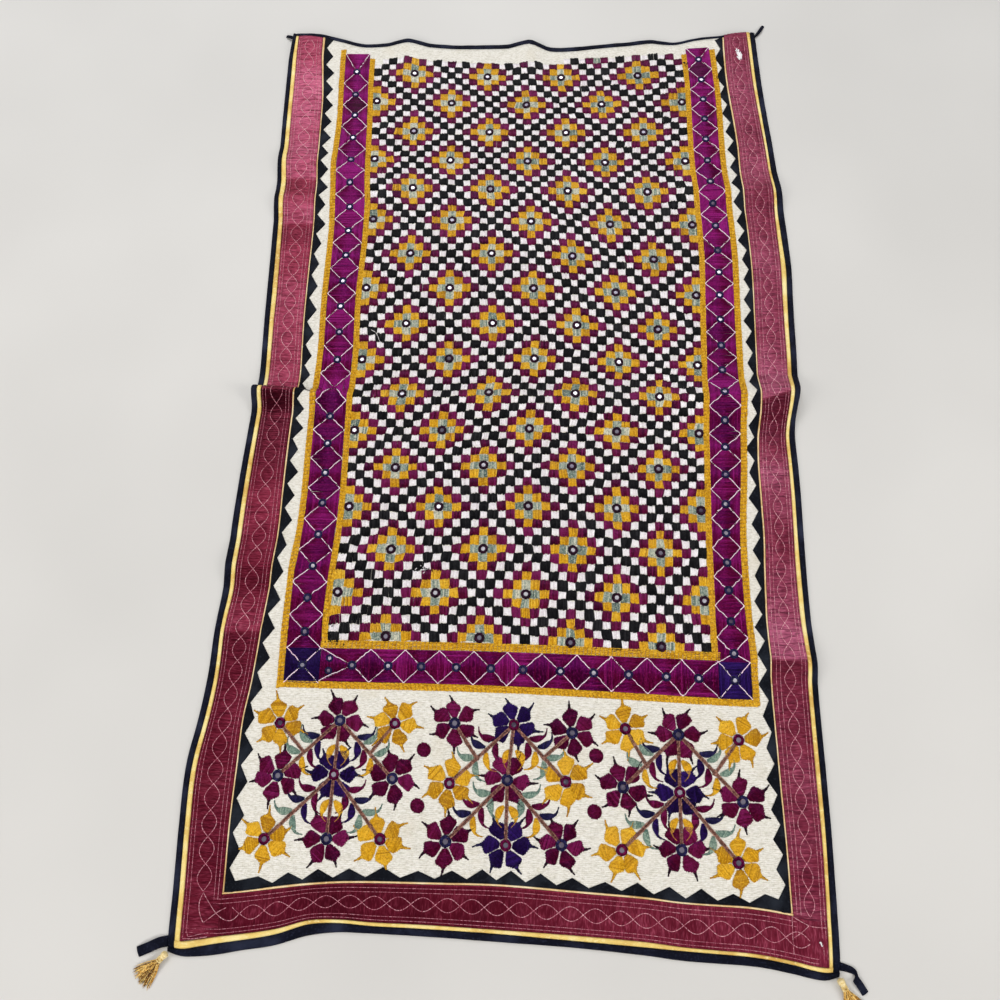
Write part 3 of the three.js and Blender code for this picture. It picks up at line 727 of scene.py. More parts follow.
COTTON = cotton_look()
SATIN = {
    "left": satin_look("satin_left", True, 1.6, 0.62, (255, 92, 132)),
    "right": satin_look("satin_right", True, 1.8, 0.55, (240, 122, 164)),
    "bottom": satin_look("satin_bottom", False, 0.8, 0.28, (255, 92, 132)),
}
SAWTOOTH = plain_cloth_look("sawtooth_black", [(11, 13, 18), (18, 20, 26), (38, 42, 50)], specular=0.1)
NAVY = plain_cloth_look("binding_navy", [(11, 13, 22), (18, 20, 33), (40, 44, 62)], specular=0.1)
CREAM_PIPING = plain_cloth_look(
    "piping_cream", [(212, 168, 106), (240, 206, 150), (250, 230, 188)], (5, 5, 5), 0.6)
YELLOW_PIPING = plain_cloth_look(
    "piping_yellow", [(206, 161, 78), (236, 206, 120), (247, 231, 166)], (6, 4, 5), 0.5)
TASSEL = thread_look("tassel_gold", [(52, 16, 22), (206, 148, 48), (246, 212, 132)], (226, 176, 84))
KNOT = thread_look("tassel_knot", [(206, 170, 92), (236, 212, 148), (250, 238, 200)], (240, 226, 180))
WHITE = thread_look("thread_white", [(226, 217, 220), (250, 244, 246), (255, 253, 253)], (246, 240, 236),
                    specular=0.6)
ZIGZAG = thread_look("couched_white", [(240, 170, 214), (255, 216, 240), (255, 240, 250)], (252, 214, 236))
BLACK = thread_look("thread_black", [(8, 8, 10), (18, 18, 21), (44, 43, 46)], (26, 25, 28), specular=0.15)
RING = thread_look("thread_ring", [(12, 10, 34), (24, 21, 60), (54, 50, 100)], (34, 31, 70), specular=0.2)
DARK_RING = thread_look("thread_dark_ring", [(14, 4, 13), (36, 10, 29), (74, 28, 60)], (48, 18, 40),
                        specular=0.2)
MAGENTA = thread_look("thread_magenta", [(34, 0, 6), (82, 3, 10), (144, 30, 104)], (90, 6, 18), 0.42,
                      specular=1.0, gloss=(245, 62, 235), bending=1.72)
# Magenta of the dark diamonds, darker and less glossy: painted shade
SHADED_MAGENTA = thread_look("thread_shaded_magenta", [(38, 0, 22), (66, 2, 42), (100, 12, 80)], (72, 4, 48), specular=0.2)
MAGENTA_CELLS = thread_look("thread_magenta_cells", [(36, 0, 9), (84, 9, 27), (124, 30, 82)], (92, 12, 36),
                            0.45, specular=0.85, gloss=(250, 130, 235))
MAGENTA_FLOWERS = thread_look("thread_magenta_flowers", [(34, 0, 9), (80, 7, 27), (130, 32, 86)], (90, 9, 34),
                              0.45, specular=0.8, gloss=(250, 90, 220))
PURPLE = thread_look("thread_purple", [(12, 4, 24), (25, 11, 50), (52, 27, 104)], (33, 17, 64), 0.42,
                     specular=0.7, gloss=(150, 110, 240))
MARIGOLD = thread_look("thread_marigold", [(166, 112, 12), (222, 167, 26), (240, 196, 62)], (224, 174, 56),
                       0.45)
SAGE = thread_look("thread_sage", [(74, 98, 93), (142, 159, 147), (224, 220, 198)], (168, 178, 161))
SAGE_LEAVES = thread_look("thread_sage_leaves", [(72, 100, 92), (116, 142, 128), (172, 186, 168)],
                          (134, 156, 140))
BROWN = thread_look("thread_brown", [(80, 46, 40), (126, 84, 72), (180, 132, 114)], (138, 100, 88))
PINK = thread_look("quilting_pink", [(138, 52, 74), (196, 108, 128), (255, 196, 206)], (206, 124, 142))
MIRROR = mirror_look()


# The cloths

PANEL_COLUMNS = 76
PANEL_ROWS = 270


def panel_piece():
    """The cotton panel, as a closed sheet on a fine grid."""
    sides = {}
    for side in rim_sides("ground_panel"):
        extent = np.ptp(side, axis=0)
        main = 1 if extent[1] > extent[0] else 0
        side = side if side[0, main] < side[-1, main] else side[::-1]
        sides.setdefault(main, []).append(side)
    left, right = sorted(sides[1], key=lambda side: side[:, 0].mean())
    bottom, top = sorted(sides[0], key=lambda side: side[:, 1].mean())
    low, high = bottom[:, 1].mean(), top[:, 1].mean()
    shares = np.unique(np.concatenate([np.linspace(0, 1, PANEL_ROWS), (FOLD_ROWS - low) / (high - low)]))
    n, m = PANEL_COLUMNS, len(shares)
    u, v = np.meshgrid(np.linspace(0, 1, n), shares, indexing="ij")
    x, y = np.zeros_like(u), np.zeros_like(v)
    for _ in range(6):
        low, high = smooth(x, bottom[:, 0], bottom[:, 1]), smooth(x, top[:, 0], top[:, 1])
        y = low * (1 - v) + high * v
        x = smooth(y, left[:, 1], left[:, 0]) * (1 - u) + smooth(y, right[:, 1], right[:, 0]) * u
    xy = np.stack([x, y], axis=-1)
    over, under = on_cloth(xy, np.full(u.shape, PANEL_THICK)), on_cloth(xy, np.zeros(u.shape))
    points = np.vstack([over.reshape(-1, 3), under.reshape(-1, 3)])
    faces = [grid_faces(n, m), grid_faces(n, m, n * m)[:, ::-1]]
    index = np.arange(n * m).reshape(n, m)
    rim = np.concatenate([index[:, 0], index[-1, 1:], index[-2::-1, -1], index[0, -2:0:-1]])
    after = np.roll(rim, -1)
    faces.append(np.stack([after, rim, rim + n * m, after + n * m], axis=1))
    piece = add_piece("ground_cloth", points, np.vstack(faces), COTTON, "cotton")
    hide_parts("ground_panel")
    width = np.linalg.norm(np.diff(over, axis=0), axis=2).sum(axis=0).mean()
    length = np.linalg.norm(np.diff(over, axis=1), axis=2).sum(axis=1).mean()
    return piece, (float(width) * MM, float(length) * MM)


def rounded(q, power):
    return np.sqrt(np.clip(1 - np.abs(2 * q - 1) ** power, 0, 1))


def uneven(f, length, pitch, seed):
    """Small dents along a strip, about one for each pitch."""
    return 0.5 + 0.5 * waves(f * length, 0 * f, [(pitch, 1e6), (0.57 * pitch, 1e6)], seed)


PIPING_STEP = 6.0
strips = {node: Strip(node) for node in CLOTH_NODES if node != "ground_panel"}
sewn = {side: [] for side in (*SIDES, "top")}


def edge_strip(node, side, base, high, dents, power, across, look, slot, seed):
    """A piping or binding with a rounded top, dented a little about every so many millimetres."""
    strip = strips[node]

    def lift(f, q):
        return base + (high + dents[0] * uneven(f, strip.length, dents[1], seed)) * rounded(q, power)

    sewn[side].append(sheet_piece(f"{node}_cloth", node, strip, lift, PIPING_STEP, across, look, slot))


# Each edge strip's height at its edges, rise, depth and pitch of its dents, roundness and points across
INNER_PIPING = (0.5, INNER_PIPING_THICK - 0.6, (0.3, 26), 2, 7, CREAM_PIPING, "piping_cream")
OUTER_PIPING = (0.6, OUTER_PIPING_THICK - 0.9, (0.5, 31), 4, 7, YELLOW_PIPING, "piping_yellow")
BINDING = (0.4, BINDING_THICK - 0.9, (0.7, 42), 3, 9, NAVY, "binding_navy")
BINDING_SEED = 9
for number, side in enumerate(SIDES):
    edge_strip(f"inner_piping_{side}", side, *INNER_PIPING, number)
    edge_strip(f"outer_piping_{side}", side, *OUTER_PIPING, number)
for number, side in enumerate((*SIDES, "top")):
    edge_strip(f"binding_{side}", side, *BINDING, BINDING_SEED + number)


# Ties: ends of dark tape, sewn to the side bindings

TIE_THICK = 1.8
TIE_STEP = 1.5
TIE_POINTS = 9


def tie_piece(node):
    strip = Strip(node)
    f, q = strip.grid(TIE_STEP, TIE_POINTS)
    xy, foot = strip.at(f, q), strip.foot(f, q)
    crease = 0.25 * np.sin(7 * f + 3 * q)
    top = foot + TIE_THICK * (0.3 + 0.7 * rounded(q, 4)) * (0.85 + crease * np.sin(math.pi * q))
    points, faces = strip_solid(
        np.concatenate([xy, top[..., None]], axis=-1),
        np.concatenate([xy[:, 0], foot[:, :1]], axis=-1),
        np.concatenate([xy[:, -1], foot[:, -1:]], axis=-1))
    piece = add_piece(f"{node}_cloth", points, outward(points, faces), NAVY, "binding_navy")
    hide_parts(node)
    return piece


for end in ("top", "bottom"):
    for side in ("left", "right"):
        sewn[side].append(tie_piece(f"tie_{end}_{side}"))


# Quilted borders: a cable along the middle and pairs of straight lines beside it

# Where lines and cables start and stop, in millimetres from a border's ends, and the cable's loops
QUILT_ENDS = {
    "left": {"outer": (9, 6), "inner": (46, 6), "cable": (60, 6), "loops": 43},
    "right": {"outer": (-46, 6), "inner": (2, 6), "cable": (2, 6), "loops": 46},
    "bottom": {"outer": (-48, 10), "inner": (-12, 36), "cable": (27, 22), "loops": 23},
}
CABLE_REACH = {"left": 10.6, "right": 7.6, "bottom": 9.0}
LINES_FROM_OUTER = (3.4, 8.4)
LINES_FROM_INNER = (5.4, 11.0)
QUILT_DENT = 0.5
QUILT_WIDE = 2.1
QUILT_RISE = 0.5
PUCKER = {"left": 0.4, "right": 0.8, "bottom": 0.5}
PUCKER_LENGTHS = [(26, 7), (17, 9), (34, 13), (11, 5.5)]
PUCKER_PATCHES = [(300, 160)]


def quilt_lines(strip, side):
    """The quilting lines of a border, as functions from millimetres along it to a share across it."""
    width = strip.width
    outer = 1 if side == "right" else 0
    places = [abs(outer - d / width) for d in LINES_FROM_OUTER]
    places += [abs(1 - outer - d / width) for d in LINES_FROM_INNER]
    straight = [lambda s, q=q: np.full(np.shape(s), q) for q in places]
    first, last = QUILT_ENDS[side]["cable"]
    pitch = (strip.length - first - last) / QUILT_ENDS[side]["loops"]
    cable = [
        lambda s, way=way: 0.5 + way * CABLE_REACH[side] / width * np.sin(math.pi * (s - first) / pitch)
        for way in (1, -1)
    ]
    return {"outer": straight[:2], "inner": straight[2:], "cable": cable}


def border_lift(strip, side, lines, seed):
    def lift(f, q):
        s = f * strip.length
        across = q * strip.width
        dent = np.zeros(f.shape)
        for line in lines:
            dent = np.maximum(dent, np.exp(-(((q - line(s)) * strip.width) / QUILT_WIDE) ** 2))
        patches = 0.5 + 0.5 * waves(across, s, PUCKER_PATCHES, seed + 1)
        pucker = patches * waves(across, s, PUCKER_LENGTHS, seed)
        crown = rounded(q, 3)
        return BORDER_THICK - 0.2 + BORDER_CROWN * crown + PUCKER[side] * pucker - QUILT_DENT * dent * crown
    return lift


CABLE_STITCH = {"step": 4.0, "long": 4.4, "wide": 1.0}
LINE_STITCH = {"step": 5.8, "long": 6.5, "wide": 0.8}
CABLE_TONES = {"left": (0.4, 1.0), "right": (0.3, 0.9), "bottom": (0.4, 1.0)}
LINE_TONES = (0.15, 0.75)
# Share of each stitch's own random tone, and how much paler it is painted with the satin's painted sheen
OWN_TONE = 0.75
LIT_TONE = 0.6


def quilt(quilting, strip, lift, line, ends, kind, tones, lit, rng):
    """Running stitches along a quilting line, painted paler where the satin has its painted sheen."""
    s = np.arange(ends[0], strip.length - ends[1] - kind["long"], kind["step"])
    s = s + rng.uniform(-0.2, 0.2, len(s))
    start, end = s / strip.length, (s + kind["long"]) / strip.length
    height = lift((start + end) / 2, line(s + kind["long"] / 2))
    first, last = strip.at(start, line(s)), strip.at(end, line(s + kind["long"]))
    tone = OWN_TONE * rng.uniform(*tones, len(s)) + LIT_TONE * np.clip(lit(first), 0, 1)
    quilting.add(first, last, kind["wide"], height + 0.1, QUILT_RISE, tone)


def fray(thread, middle, spread, count, lift, rng, longest=6.0, turn=math.pi):
    """Short loose stitches round a worn place, within a turn to both sides of upright."""
    start = np.asarray(middle, float) + rng.normal(0, 1, (count, 2)) * spread
    angle = math.pi / 2 + rng.uniform(-turn, turn, count)
    reach = rng.uniform(longest / 3, longest, count)[:, None]
    thread.add(start, start + reach * ray(angle), rng.uniform(1.0, 2.2, count), lift, 0.6,
               rng.uniform(0.3, 1.0, count))


# Quilting drawn along listed paths where the borders meet
CORNER_LIFT = 3.0
CORNER_PATHS = {
    "left": [
        (CABLE_STITCH, [(-418, -740), (-422, -752), (-421, -762), (-417, -772), (-413, -778)]),
        (CABLE_STITCH, [(-413, -778), (-405, -772), (-396, -765), (-383, -758)]),
        (CABLE_STITCH, [(-418, -740), (-408, -753), (-396, -766), (-385, -773), (-374, -774), (-367, -769),
                        (-364, -765)]),
        (LINE_STITCH, [(-439, -792), (-440, -799)]),
        (LINE_STITCH, [(-440, -799), (-422, -798), (-404, -795)]),
        (LINE_STITCH, [(-434, -792), (-434, -795), (-419, -793), (-404, -790)]),
    ],
    "right": [
        (LINE_STITCH, [(401, -741), (400, -764), (400, -789)]),
        (CABLE_STITCH, [(401, -741), (412, -747), (423, -752), (447, -754)]),
        (CABLE_STITCH, [(423, -752), (413, -760), (402, -767)]),
    ],
    "bottom": [(CABLE_STITCH, [(-375, -757), (-364, -765)])],
}


def quilt_corner(quilting, kind, path, rng):
    """Running stitches along a path of the drawing."""
    path = np.array(path, float)
    reach = np.concatenate([[0], np.cumsum(path_steps(path))])
    s = np.arange(0, reach[-1] - 0.4 * kind["step"], kind["step"])
    ends = [
        np.stack([smooth(at, reach, path[:, k]) for k in (0, 1)], axis=1)
        for at in (s, np.minimum(s + kind["long"], reach[-1]))
    ]
    quilting.add(*ends, kind["wide"], CORNER_LIFT, QUILT_RISE, rng.uniform(0.3, 1.0, len(s)))


# Where the white padding shows: middle, spread, number of loose ends, the longest, and their turn
TORN_LIFT = 3.2
TORN = [
    ((421, 744), (1.7, 3.6), 50, 10.0, 0.5), ((417, 757), (1.6, 1.6), 10, 6.0, 0.9),
    ((437, -774), (0.5, 1.7), 8, 2.6, math.pi),
]
torn = Stitches()
rng = np.random.default_rng(35)
for middle, spread, count, longest, turn in TORN:
    fray(torn, middle, spread, count, TORN_LIFT, rng, longest, turn)
sewn["right"].append(torn.piece("torn_places", WHITE, "thread_white"))

# Painted sheen and shade on the satin along each border: painted darkest on the near side of a fold, palest
# above it
SATIN_SHEEN_AND_SHADE = {
    "left": [
        (-800, 0.36), (-560, 0.28), (-480, 0.3), (-440, 0.16), (-378, 0.16), (-372, 0.58), (-340, 0.5),
        (-290, 0.22), (-230, 0.28), (-190, 0.54), (-150, 0.5), (-120, 0.2), (-80, -0.1), (-40, -0.25),
        (33, -0.25), (37, 0.66), (240, 0.68), (310, 0.52), (335, 0.14), (360, 0.18), (369, 0.76), (400, 0.8),
        (440, 0.3), (458, 0.32), (468, 0.88), (600, 0.86), (660, 1.05), (780, 0.7),
    ],
    "right": [
        (-800, 0.54), (-560, 0.58), (-440, 0.46), (-400, 0.32), (-395, 0.92), (-340, 0.87), (-290, 0.72),
        (-210, 0.48), (-150, 0.66), (-96, 0.86), (-55, 0.5), (-35, 0.3), (26, 0.22), (30, 0.85), (63, 0.93),
        (104, 0.73), (180, 0.6), (290, 0.68), (400, 0.46), (440, 0.48), (495, 0.75), (560, 0.48),
        (660, 0.68), (780, 0.5),
    ],
    "bottom": [
        (-420, 0.24), (-290, 0.22), (-250, 0.1), (-180, 0.1), (-110, 0.18), (0, 0.28), (120, 0.42),
        (430, 0.46),
    ],
}
SATIN_SHEEN_AND_SHADE_SHARE = 0.75
# The big fold's slant over each side border, and the place that it turns about: the satin's painted sheen and
# shade follow it
FOLD_SLANT = {"left": (-0.08, -395), "right": (0.3, 434), "bottom": (0.0, 0)}
FOLD_PLACE = 30.0
FOLD_REACH = 50.0


# The satin's painted sheen and shade at places of the drawing, slanted along the big fold
def sheen_and_shade(side):
    places, values = zip(*SATIN_SHEEN_AND_SHADE[side])
    slant, middle = FOLD_SLANT[side]

    def at(xy):
        x, y = xy[..., 0], xy[..., 1]
        lean = slant * (x - middle) * np.exp(-(((y - FOLD_PLACE) / FOLD_REACH) ** 2))
        return SATIN_SHEEN_AND_SHADE_SHARE * np.interp(x if side == "bottom" else y - lean, places, values)
    return at


# How far a border's ends reach over its neighbour, at its lower or left end
BORDER_TUCK = {"left": 0.0, "right": 1.6, "bottom": 1.6}
BORDER_STEP = 3.0
BORDER_POINTS = 27

for number, side in enumerate(SIDES):
    node = f"border_{side}"
    strip = strips[node]
    strip.tuck = BORDER_TUCK[side]
    quilt_kinds = quilt_lines(strip, side)
    lift = border_lift(strip, side, sum(quilt_kinds.values(), []), 21 + number)
    rng = np.random.default_rng(31 + number)
    quilting = Stitches()
    for kind, kind_lines in quilt_kinds.items():
        stitch, tones = (CABLE_STITCH, CABLE_TONES[side]) if kind == "cable" else (LINE_STITCH, LINE_TONES)
        for line in kind_lines:
            quilt(quilting, strip, lift, line, QUILT_ENDS[side][kind], stitch, tones, sheen_and_shade(side), rng)
    for stitch, path in CORNER_PATHS[side]:
        quilt_corner(quilting, stitch, path, rng)
    sewn[side].append(quilting.piece(f"quilting_{side}", PINK, "satin"))
    sheet_piece(f"{node}_cloth", node, strip, lift, BORDER_STEP, BORDER_POINTS, SATIN[side], "satin",
                sheen_and_shade(side))


# Sawtooth strips: folded triangles over the panel's edge, with tips where the solids have them

TOOTH_VALLEY = 4.5
TIP_SHARE = 0.72
CORNER_REACH = 17.0
CORNER_FILL = 13.0
TIP_CLUSTER = 12.0
TOOTH_STATIONS = 7
TOOTH_POINTS = 9
TOOTH_TUCK = 0.15


def tooth_tips(node, seam, main, inwards):
    """Places along the seam, and reaches over the panel, of the solid's tooth tips."""
    points, _ = solid_mesh(node)
    reach = inwards * (points[:, 1 - main] - smooth(points[:, main], seam[:, main], seam[:, 1 - main]))
    far = reach > TIP_SHARE * reach.max()
    order = np.argsort(points[far, main])
    places, reaches = points[far, main][order], reach[far][order]
    groups = np.split(np.arange(len(places)), np.flatnonzero(np.diff(places) > TIP_CLUSTER) + 1)
    best = [group[np.argmax(reaches[group])] for group in groups]
    return places[best], reaches[best]


def sawtooth_piece(side):
    node = f"sawtooth_{side}"
    piping = strips[f"inner_piping_{side}"]
    seam = piping.low if side == "right" else piping.high
    main, inwards = piping.main, (-1 if side == "right" else 1)
    tips, reaches = tooth_tips(node, seam, main, inwards)
    lowest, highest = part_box(node)
    ends = (lowest[main] / MM - ORIGIN[main], highest[main] / MM - ORIGIN[main])
    if side == "bottom":
        ends = (ends[0] - CORNER_REACH, ends[1] + CORNER_REACH)
    valleys = np.concatenate([[ends[0]], (tips[1:] + tips[:-1]) / 2, [ends[1]]])
    stops = np.concatenate([tips, valleys])
    low = np.full(len(valleys), TOOTH_VALLEY)
    low[0] = CORNER_FILL
    if side == "bottom":
        low[-1] = CORNER_FILL
    heights = np.concatenate([reaches, low])
    order = np.argsort(stops)
    stops, heights = stops[order], heights[order]
    fill = [np.linspace(a, b, TOOTH_STATIONS)[:-1] for a, b in zip(stops[:-1], stops[1:])]
    at = np.unique(np.concatenate([*fill, stops[-1:]]))
    reach = np.interp(at, stops, heights)
    q = np.linspace(0, 1, TOOTH_POINTS)
    off = smooth(at, seam[:, main], seam[:, 1 - main])[:, None] + inwards * reach[:, None] * q
    xy = placed(np.broadcast_to(at[:, None], off.shape), off, main)
    fold = (reach - TOOTH_VALLEY) / (reaches.mean() - TOOTH_VALLEY)
    crown = 0.25 + 0.75 * rounded(0.5 + 0.5 * q, 5)[None, :]
    lift = SAWTOOTH_LIFT + SAWTOOTH_THICK * crown * (0.72 + 0.4 * np.clip(fold, 0, 1))[:, None]
    flat = np.full(len(at), SAWTOOTH_LIFT - TOOTH_TUCK)
    points, faces = strip_solid(on_cloth(xy, lift), on_cloth(xy[:, 0], flat), on_cloth(xy[:, -1], flat))
    piece = add_piece(f"{node}_cloth", points, outward(points, faces), SAWTOOTH, "sawtooth_black")
    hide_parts(node)


for side in SIDES:
    sawtooth_piece(side)


# Embroidery: the checked field

CELL_ROWS = 86
CELL_COLUMNS = 41
FIRST_ROW = -3
CELL_THREADS = 7
CELL_WIDE = 14.6
CELL_OVERLAP = 1.3
THREAD_RISE = 0.85
CELL_JITTER = 0.8
CELL_SEED = 50

# How far each thread's cells spread over their neighbours, across and along, and how high they lie
CELL_SPREAD = {
    "white": (0.81, 0.82, 1.55), "sage": (1.0, 1.04, 1.65), "marigold": (1.05, 1.1, 1.75),
    "magenta": (1.1, 1.17, 1.8), "black": (1.12, 1.23, 1.85),
}
# Spread of the tones from cell to cell, and from stitch to stitch
CELL_TONES = {
    "white": (0.1, 0.24), "sage": (0.2, 0.24), "marigold": (0.13, 0.2), "magenta": (0.27, 0.25),
    "black": (0.14, 0.2),
}

# Middles of rows of cells, counted from the top: every tenth row, and one beyond each end
ROW_PLACES = table_curve([
    (-3, 777), (2, 709), (12, 572), (22, 441), (32, 302), (42, 163), (52, 33), (62, -95), (72, -235),
    (82, -378), (84, -405),
])
FIELD_LEFT = table_curve([
    (760, -287), (700, -286), (600, -281), (500, -277), (400, -270), (200, -271), (100, -267), (0, -269),
    (-200, -268), (-300, -274), (-460, -272),
])
FIELD_RIGHT = table_curve([
    (770, 310), (700, 314), (500, 316), (400, 321), (300, 324), (200, 321), (50, 317), (-50, 315),
    (-200, 311), (-300, 310), (-460, 309),
])
FIELD_TOP = table_curve([
    (-290, 738), (-250, 744), (-220, 746), (-150, 736), (-50, 734), (20, 731), (50, 734), (100, 741),
    (200, 747), (265, 750), (315, 748),
])

# How far the counted cells drift from an even grid, to the right and upwards, by row and by column
DRIFT_COLUMNS = (0, 6, 20, 34, 41)
DRIFT_ROWS = (2, 12, 22, 32, 42, 52, 62, 72, 82)
DRIFT_RIGHT = [
    (0, 0, -6, -9, 0), (0, 0, -1, -2, 0), (0, 0, -2, -4, 0), (0, 1, 2, 0, 0), (0, 3, 11, 8, 0),
    (0, 5, 9, 8, 0), (0, 1, 5, 6, 0), (0, 6, 11, 8, 0), (0, 12, 11, 5, 0),
]
DRIFT_UP = [
    (6, 1, -10, -7, 0), (3, 2, -2, -2, 0), (4, 2, -2, -7, -4), (4, 4, 3, -7, -8), (0, 1, 3, -6, -9),
    (-6, -5, 0, -5, -7), (-6, -6, 1, -2, -2), (-4, -3, 1, -1, -1), (-1, 2, 2, -4, -5),
]


def drift(table, columns, rows):
    across = [smooth(columns, DRIFT_COLUMNS, line) for line in table]
    return np.stack([smooth(rows, DRIFT_ROWS, line) for line in np.transpose(across)])


def field_nodes():
    """Corners of the cells, a little uneven, as worked by hand."""
    rng = np.random.default_rng(41)
    rows = np.arange(CELL_ROWS + 1) + FIRST_ROW - 0.5
    columns = np.arange(CELL_COLUMNS + 1) / CELL_COLUMNS
    y = np.broadcast_to(ROW_PLACES(rows)[None, :], (len(columns), len(rows)))
    left, right = FIELD_LEFT(y), FIELD_RIGHT(y)
    x = left + (right - left) * columns[:, None]
    x = x + drift(DRIFT_RIGHT, columns * CELL_COLUMNS, rows)
    y = y + drift(DRIFT_UP, columns * CELL_COLUMNS, rows)
    jitter = rng.normal(0, CELL_JITTER, (*x.shape, 2))
    jitter[0, :, 0] = jitter[-1, :, 0] = 0
    return np.stack([x, y], axis=-1) + jitter


FIELD_NODES = field_nodes()


def field_at(column, row, u, v):
    """Places inside cells, by shares across and down each cell."""
    near = FIELD_NODES[column, row] * (1 - u)[:, None] + FIELD_NODES[column + 1, row] * u[:, None]
    far = FIELD_NODES[column, row + 1] * (1 - u)[:, None] + FIELD_NODES[column + 1, row + 1] * u[:, None]
    return near * (1 - v)[:, None] + far * v[:, None]


# Thread of each ring of cells round a diamond's mirror
DIAMOND_RINGS = {1: "sage", 2: "marigold", 3: "magenta", 4: "white", 5: "black"}
REPEAT = 10
FIRST_DIAMOND = (5, 2)


def diamond_ring(column, row):
    """Cells from the nearest diamond's middle, counted across and down."""
    u = (column - FIRST_DIAMOND[0]) % REPEAT
    v = (row + FIRST_ROW - FIRST_DIAMOND[1]) % REPEAT
    here = np.minimum(u, REPEAT - u) + np.minimum(v, REPEAT - v)
    between = np.abs(u - REPEAT // 2) + np.abs(v - REPEAT // 2)
    return np.minimum(here, between)


columns, rows = (grid.ravel() for grid in np.meshgrid(
    np.arange(CELL_COLUMNS), np.arange(CELL_ROWS), indexing="ij"))
middles = field_at(columns, rows, np.full(len(rows), 0.5), np.full(len(rows), 0.5))
LAST_ROW = 82
worked = (middles[:, 1] < FIELD_TOP(middles[:, 0])) & (rows + FIRST_ROW <= LAST_ROW)
columns, rows, middles = columns[worked], rows[worked], middles[worked]
rings = diamond_ring(columns, rows)
# A cell in the top row that was worked in sage
ODD_CELL = (150, 741)
rings[np.argmin(np.linalg.norm(middles - ODD_CELL, axis=1))] = 1

THREADS = ("magenta", "marigold", "sage", "purple", "brown", "ring", "dark_ring", "shaded")
threads = {name: Stitches() for name in THREADS}
field = {name: Stitches() for name in DIAMOND_RINGS.values()}


def paler_to_upper_left(xy):
    """How much paler the sage thread is towards the upper left of the field."""
    return 0.45 * np.clip((xy[:, 1] - 100) / 500, 0, 1) * np.clip((200 - xy[:, 0]) / 350, 0.2, 1)


def work_cells(name, column, row, seed):
    """Upright satin stitches side by side in each cell."""
    rng = np.random.default_rng(seed)
    wide, long, lift = CELL_SPREAD[name]
    shape = (len(column), CELL_THREADS)
    u = 0.5 + wide * ((np.arange(CELL_THREADS) + 0.5)[None, :] / CELL_THREADS - 0.5)
    u = u + rng.normal(0, 0.012, shape)
    lean = rng.normal(0, 0.03, len(column))[:, None]
    top = 0.5 - 0.5 * long + rng.uniform(-0.08, 0.05, shape)
    bottom = 0.5 + 0.5 * long + rng.uniform(-0.05, 0.08, shape)
    by_cell, by_stitch = CELL_TONES[name]
    tone = 0.5 + rng.normal(0, by_cell, len(column))[:, None] + rng.normal(0, by_stitch, shape)
    if name == "sage":
        tone += paler_to_upper_left(field_at(column, row, *np.full((2, len(column)), 0.5)))[:, None]
    many_columns, many_rows = np.repeat(column, CELL_THREADS), np.repeat(row, CELL_THREADS)
    start = field_at(many_columns, many_rows, (u + lean).ravel(), top.ravel())
    end = field_at(many_columns, many_rows, (u - lean).ravel(), bottom.ravel())
    puff = 0.25 * np.sin(math.pi * np.clip(u, 0, 1)).ravel()
    width = CELL_OVERLAP * wide * CELL_WIDE / CELL_THREADS
    field[name].add(start, end, width, lift, THREAD_RISE + puff, tone.ravel())


for ring, name in DIAMOND_RINGS.items():
    here = rings == ring
    work_cells(name, columns[here], rows[here], CELL_SEED + ring)


# Mirrors, each held by a ring of stitches

mirror_points, mirror_faces, painted_mirror_reflections = [], [], []
MIRROR_SIDES = 14
MIRROR_UNDER_RING = 0.6
MIRROR_TILT = 0.045
RIM_LIFT = 2.7
GLASS_LIFT = 2.75
GLASS_FOOT = 1.9
RING_STITCHES = 18
RING_SWIRL = 0.22
RING_OVERLAP = 1.35
RING_LIFT = 2.5
RING_RISE = 1.2
mirror_rng = np.random.default_rng(61)


def add_mirror(middle, glass, outer, thread, tones=(0.2, 0.7), shine=1.0):
    """A round glass of one radius in a stitched ring of a larger radius."""
    middle = np.asarray(middle, float)
    turn = mirror_rng.uniform(0, 2 * math.pi)
    angle = turn + 2 * math.pi * np.arange(MIRROR_SIDES) / MIRROR_SIDES
    rim = middle + (glass + MIRROR_UNDER_RING) * ray(angle)
    tilt = mirror_rng.normal(0, MIRROR_TILT, 2)
    lift = RIM_LIFT + (rim - middle) @ tilt
    base = len(mirror_points) * (MIRROR_SIDES + 2)
    # Each glass gets a random strength of painted reflection, scaled by shine
    painted_mirror_reflections.append(np.full(MIRROR_SIDES + 2, shine * mirror_rng.uniform(0, 1)))
    poles = on_cloth(np.stack([middle, middle]), np.array([GLASS_LIFT, GLASS_FOOT]))
    mirror_points.append(np.vstack([on_cloth(rim, lift), poles]))
    for k in range(MIRROR_SIDES):
        after = (k + 1) % MIRROR_SIDES
        mirror_faces.append([base + k, base + after, base + MIRROR_SIDES])
        mirror_faces.append([base + after, base + k, base + MIRROR_SIDES + 1])
    number = np.arange(RING_STITCHES) + mirror_rng.normal(0, 0.1, RING_STITCHES)
    angle = turn + 2 * math.pi * number / RING_STITCHES
    far = outer * mirror_rng.uniform(0.93, 1.06, RING_STITCHES)[:, None]
    near = glass * mirror_rng.uniform(0.94, 1.04, RING_STITCHES)[:, None]
    width = RING_OVERLAP * 2 * math.pi * outer / RING_STITCHES
    start, end = middle + near * ray(angle), middle + far * ray(angle + RING_SWIRL)
    thread.add(start, end, width, RING_LIFT, RING_RISE, mirror_rng.uniform(*tones, RING_STITCHES))


# Radii of glass and ring
FIELD_MIRROR = (3.0, 8.2)
for middle in middles[rings == 0]:
    add_mirror(middle, *FIELD_MIRROR, threads["dark_ring"], (0.0, 0.6))


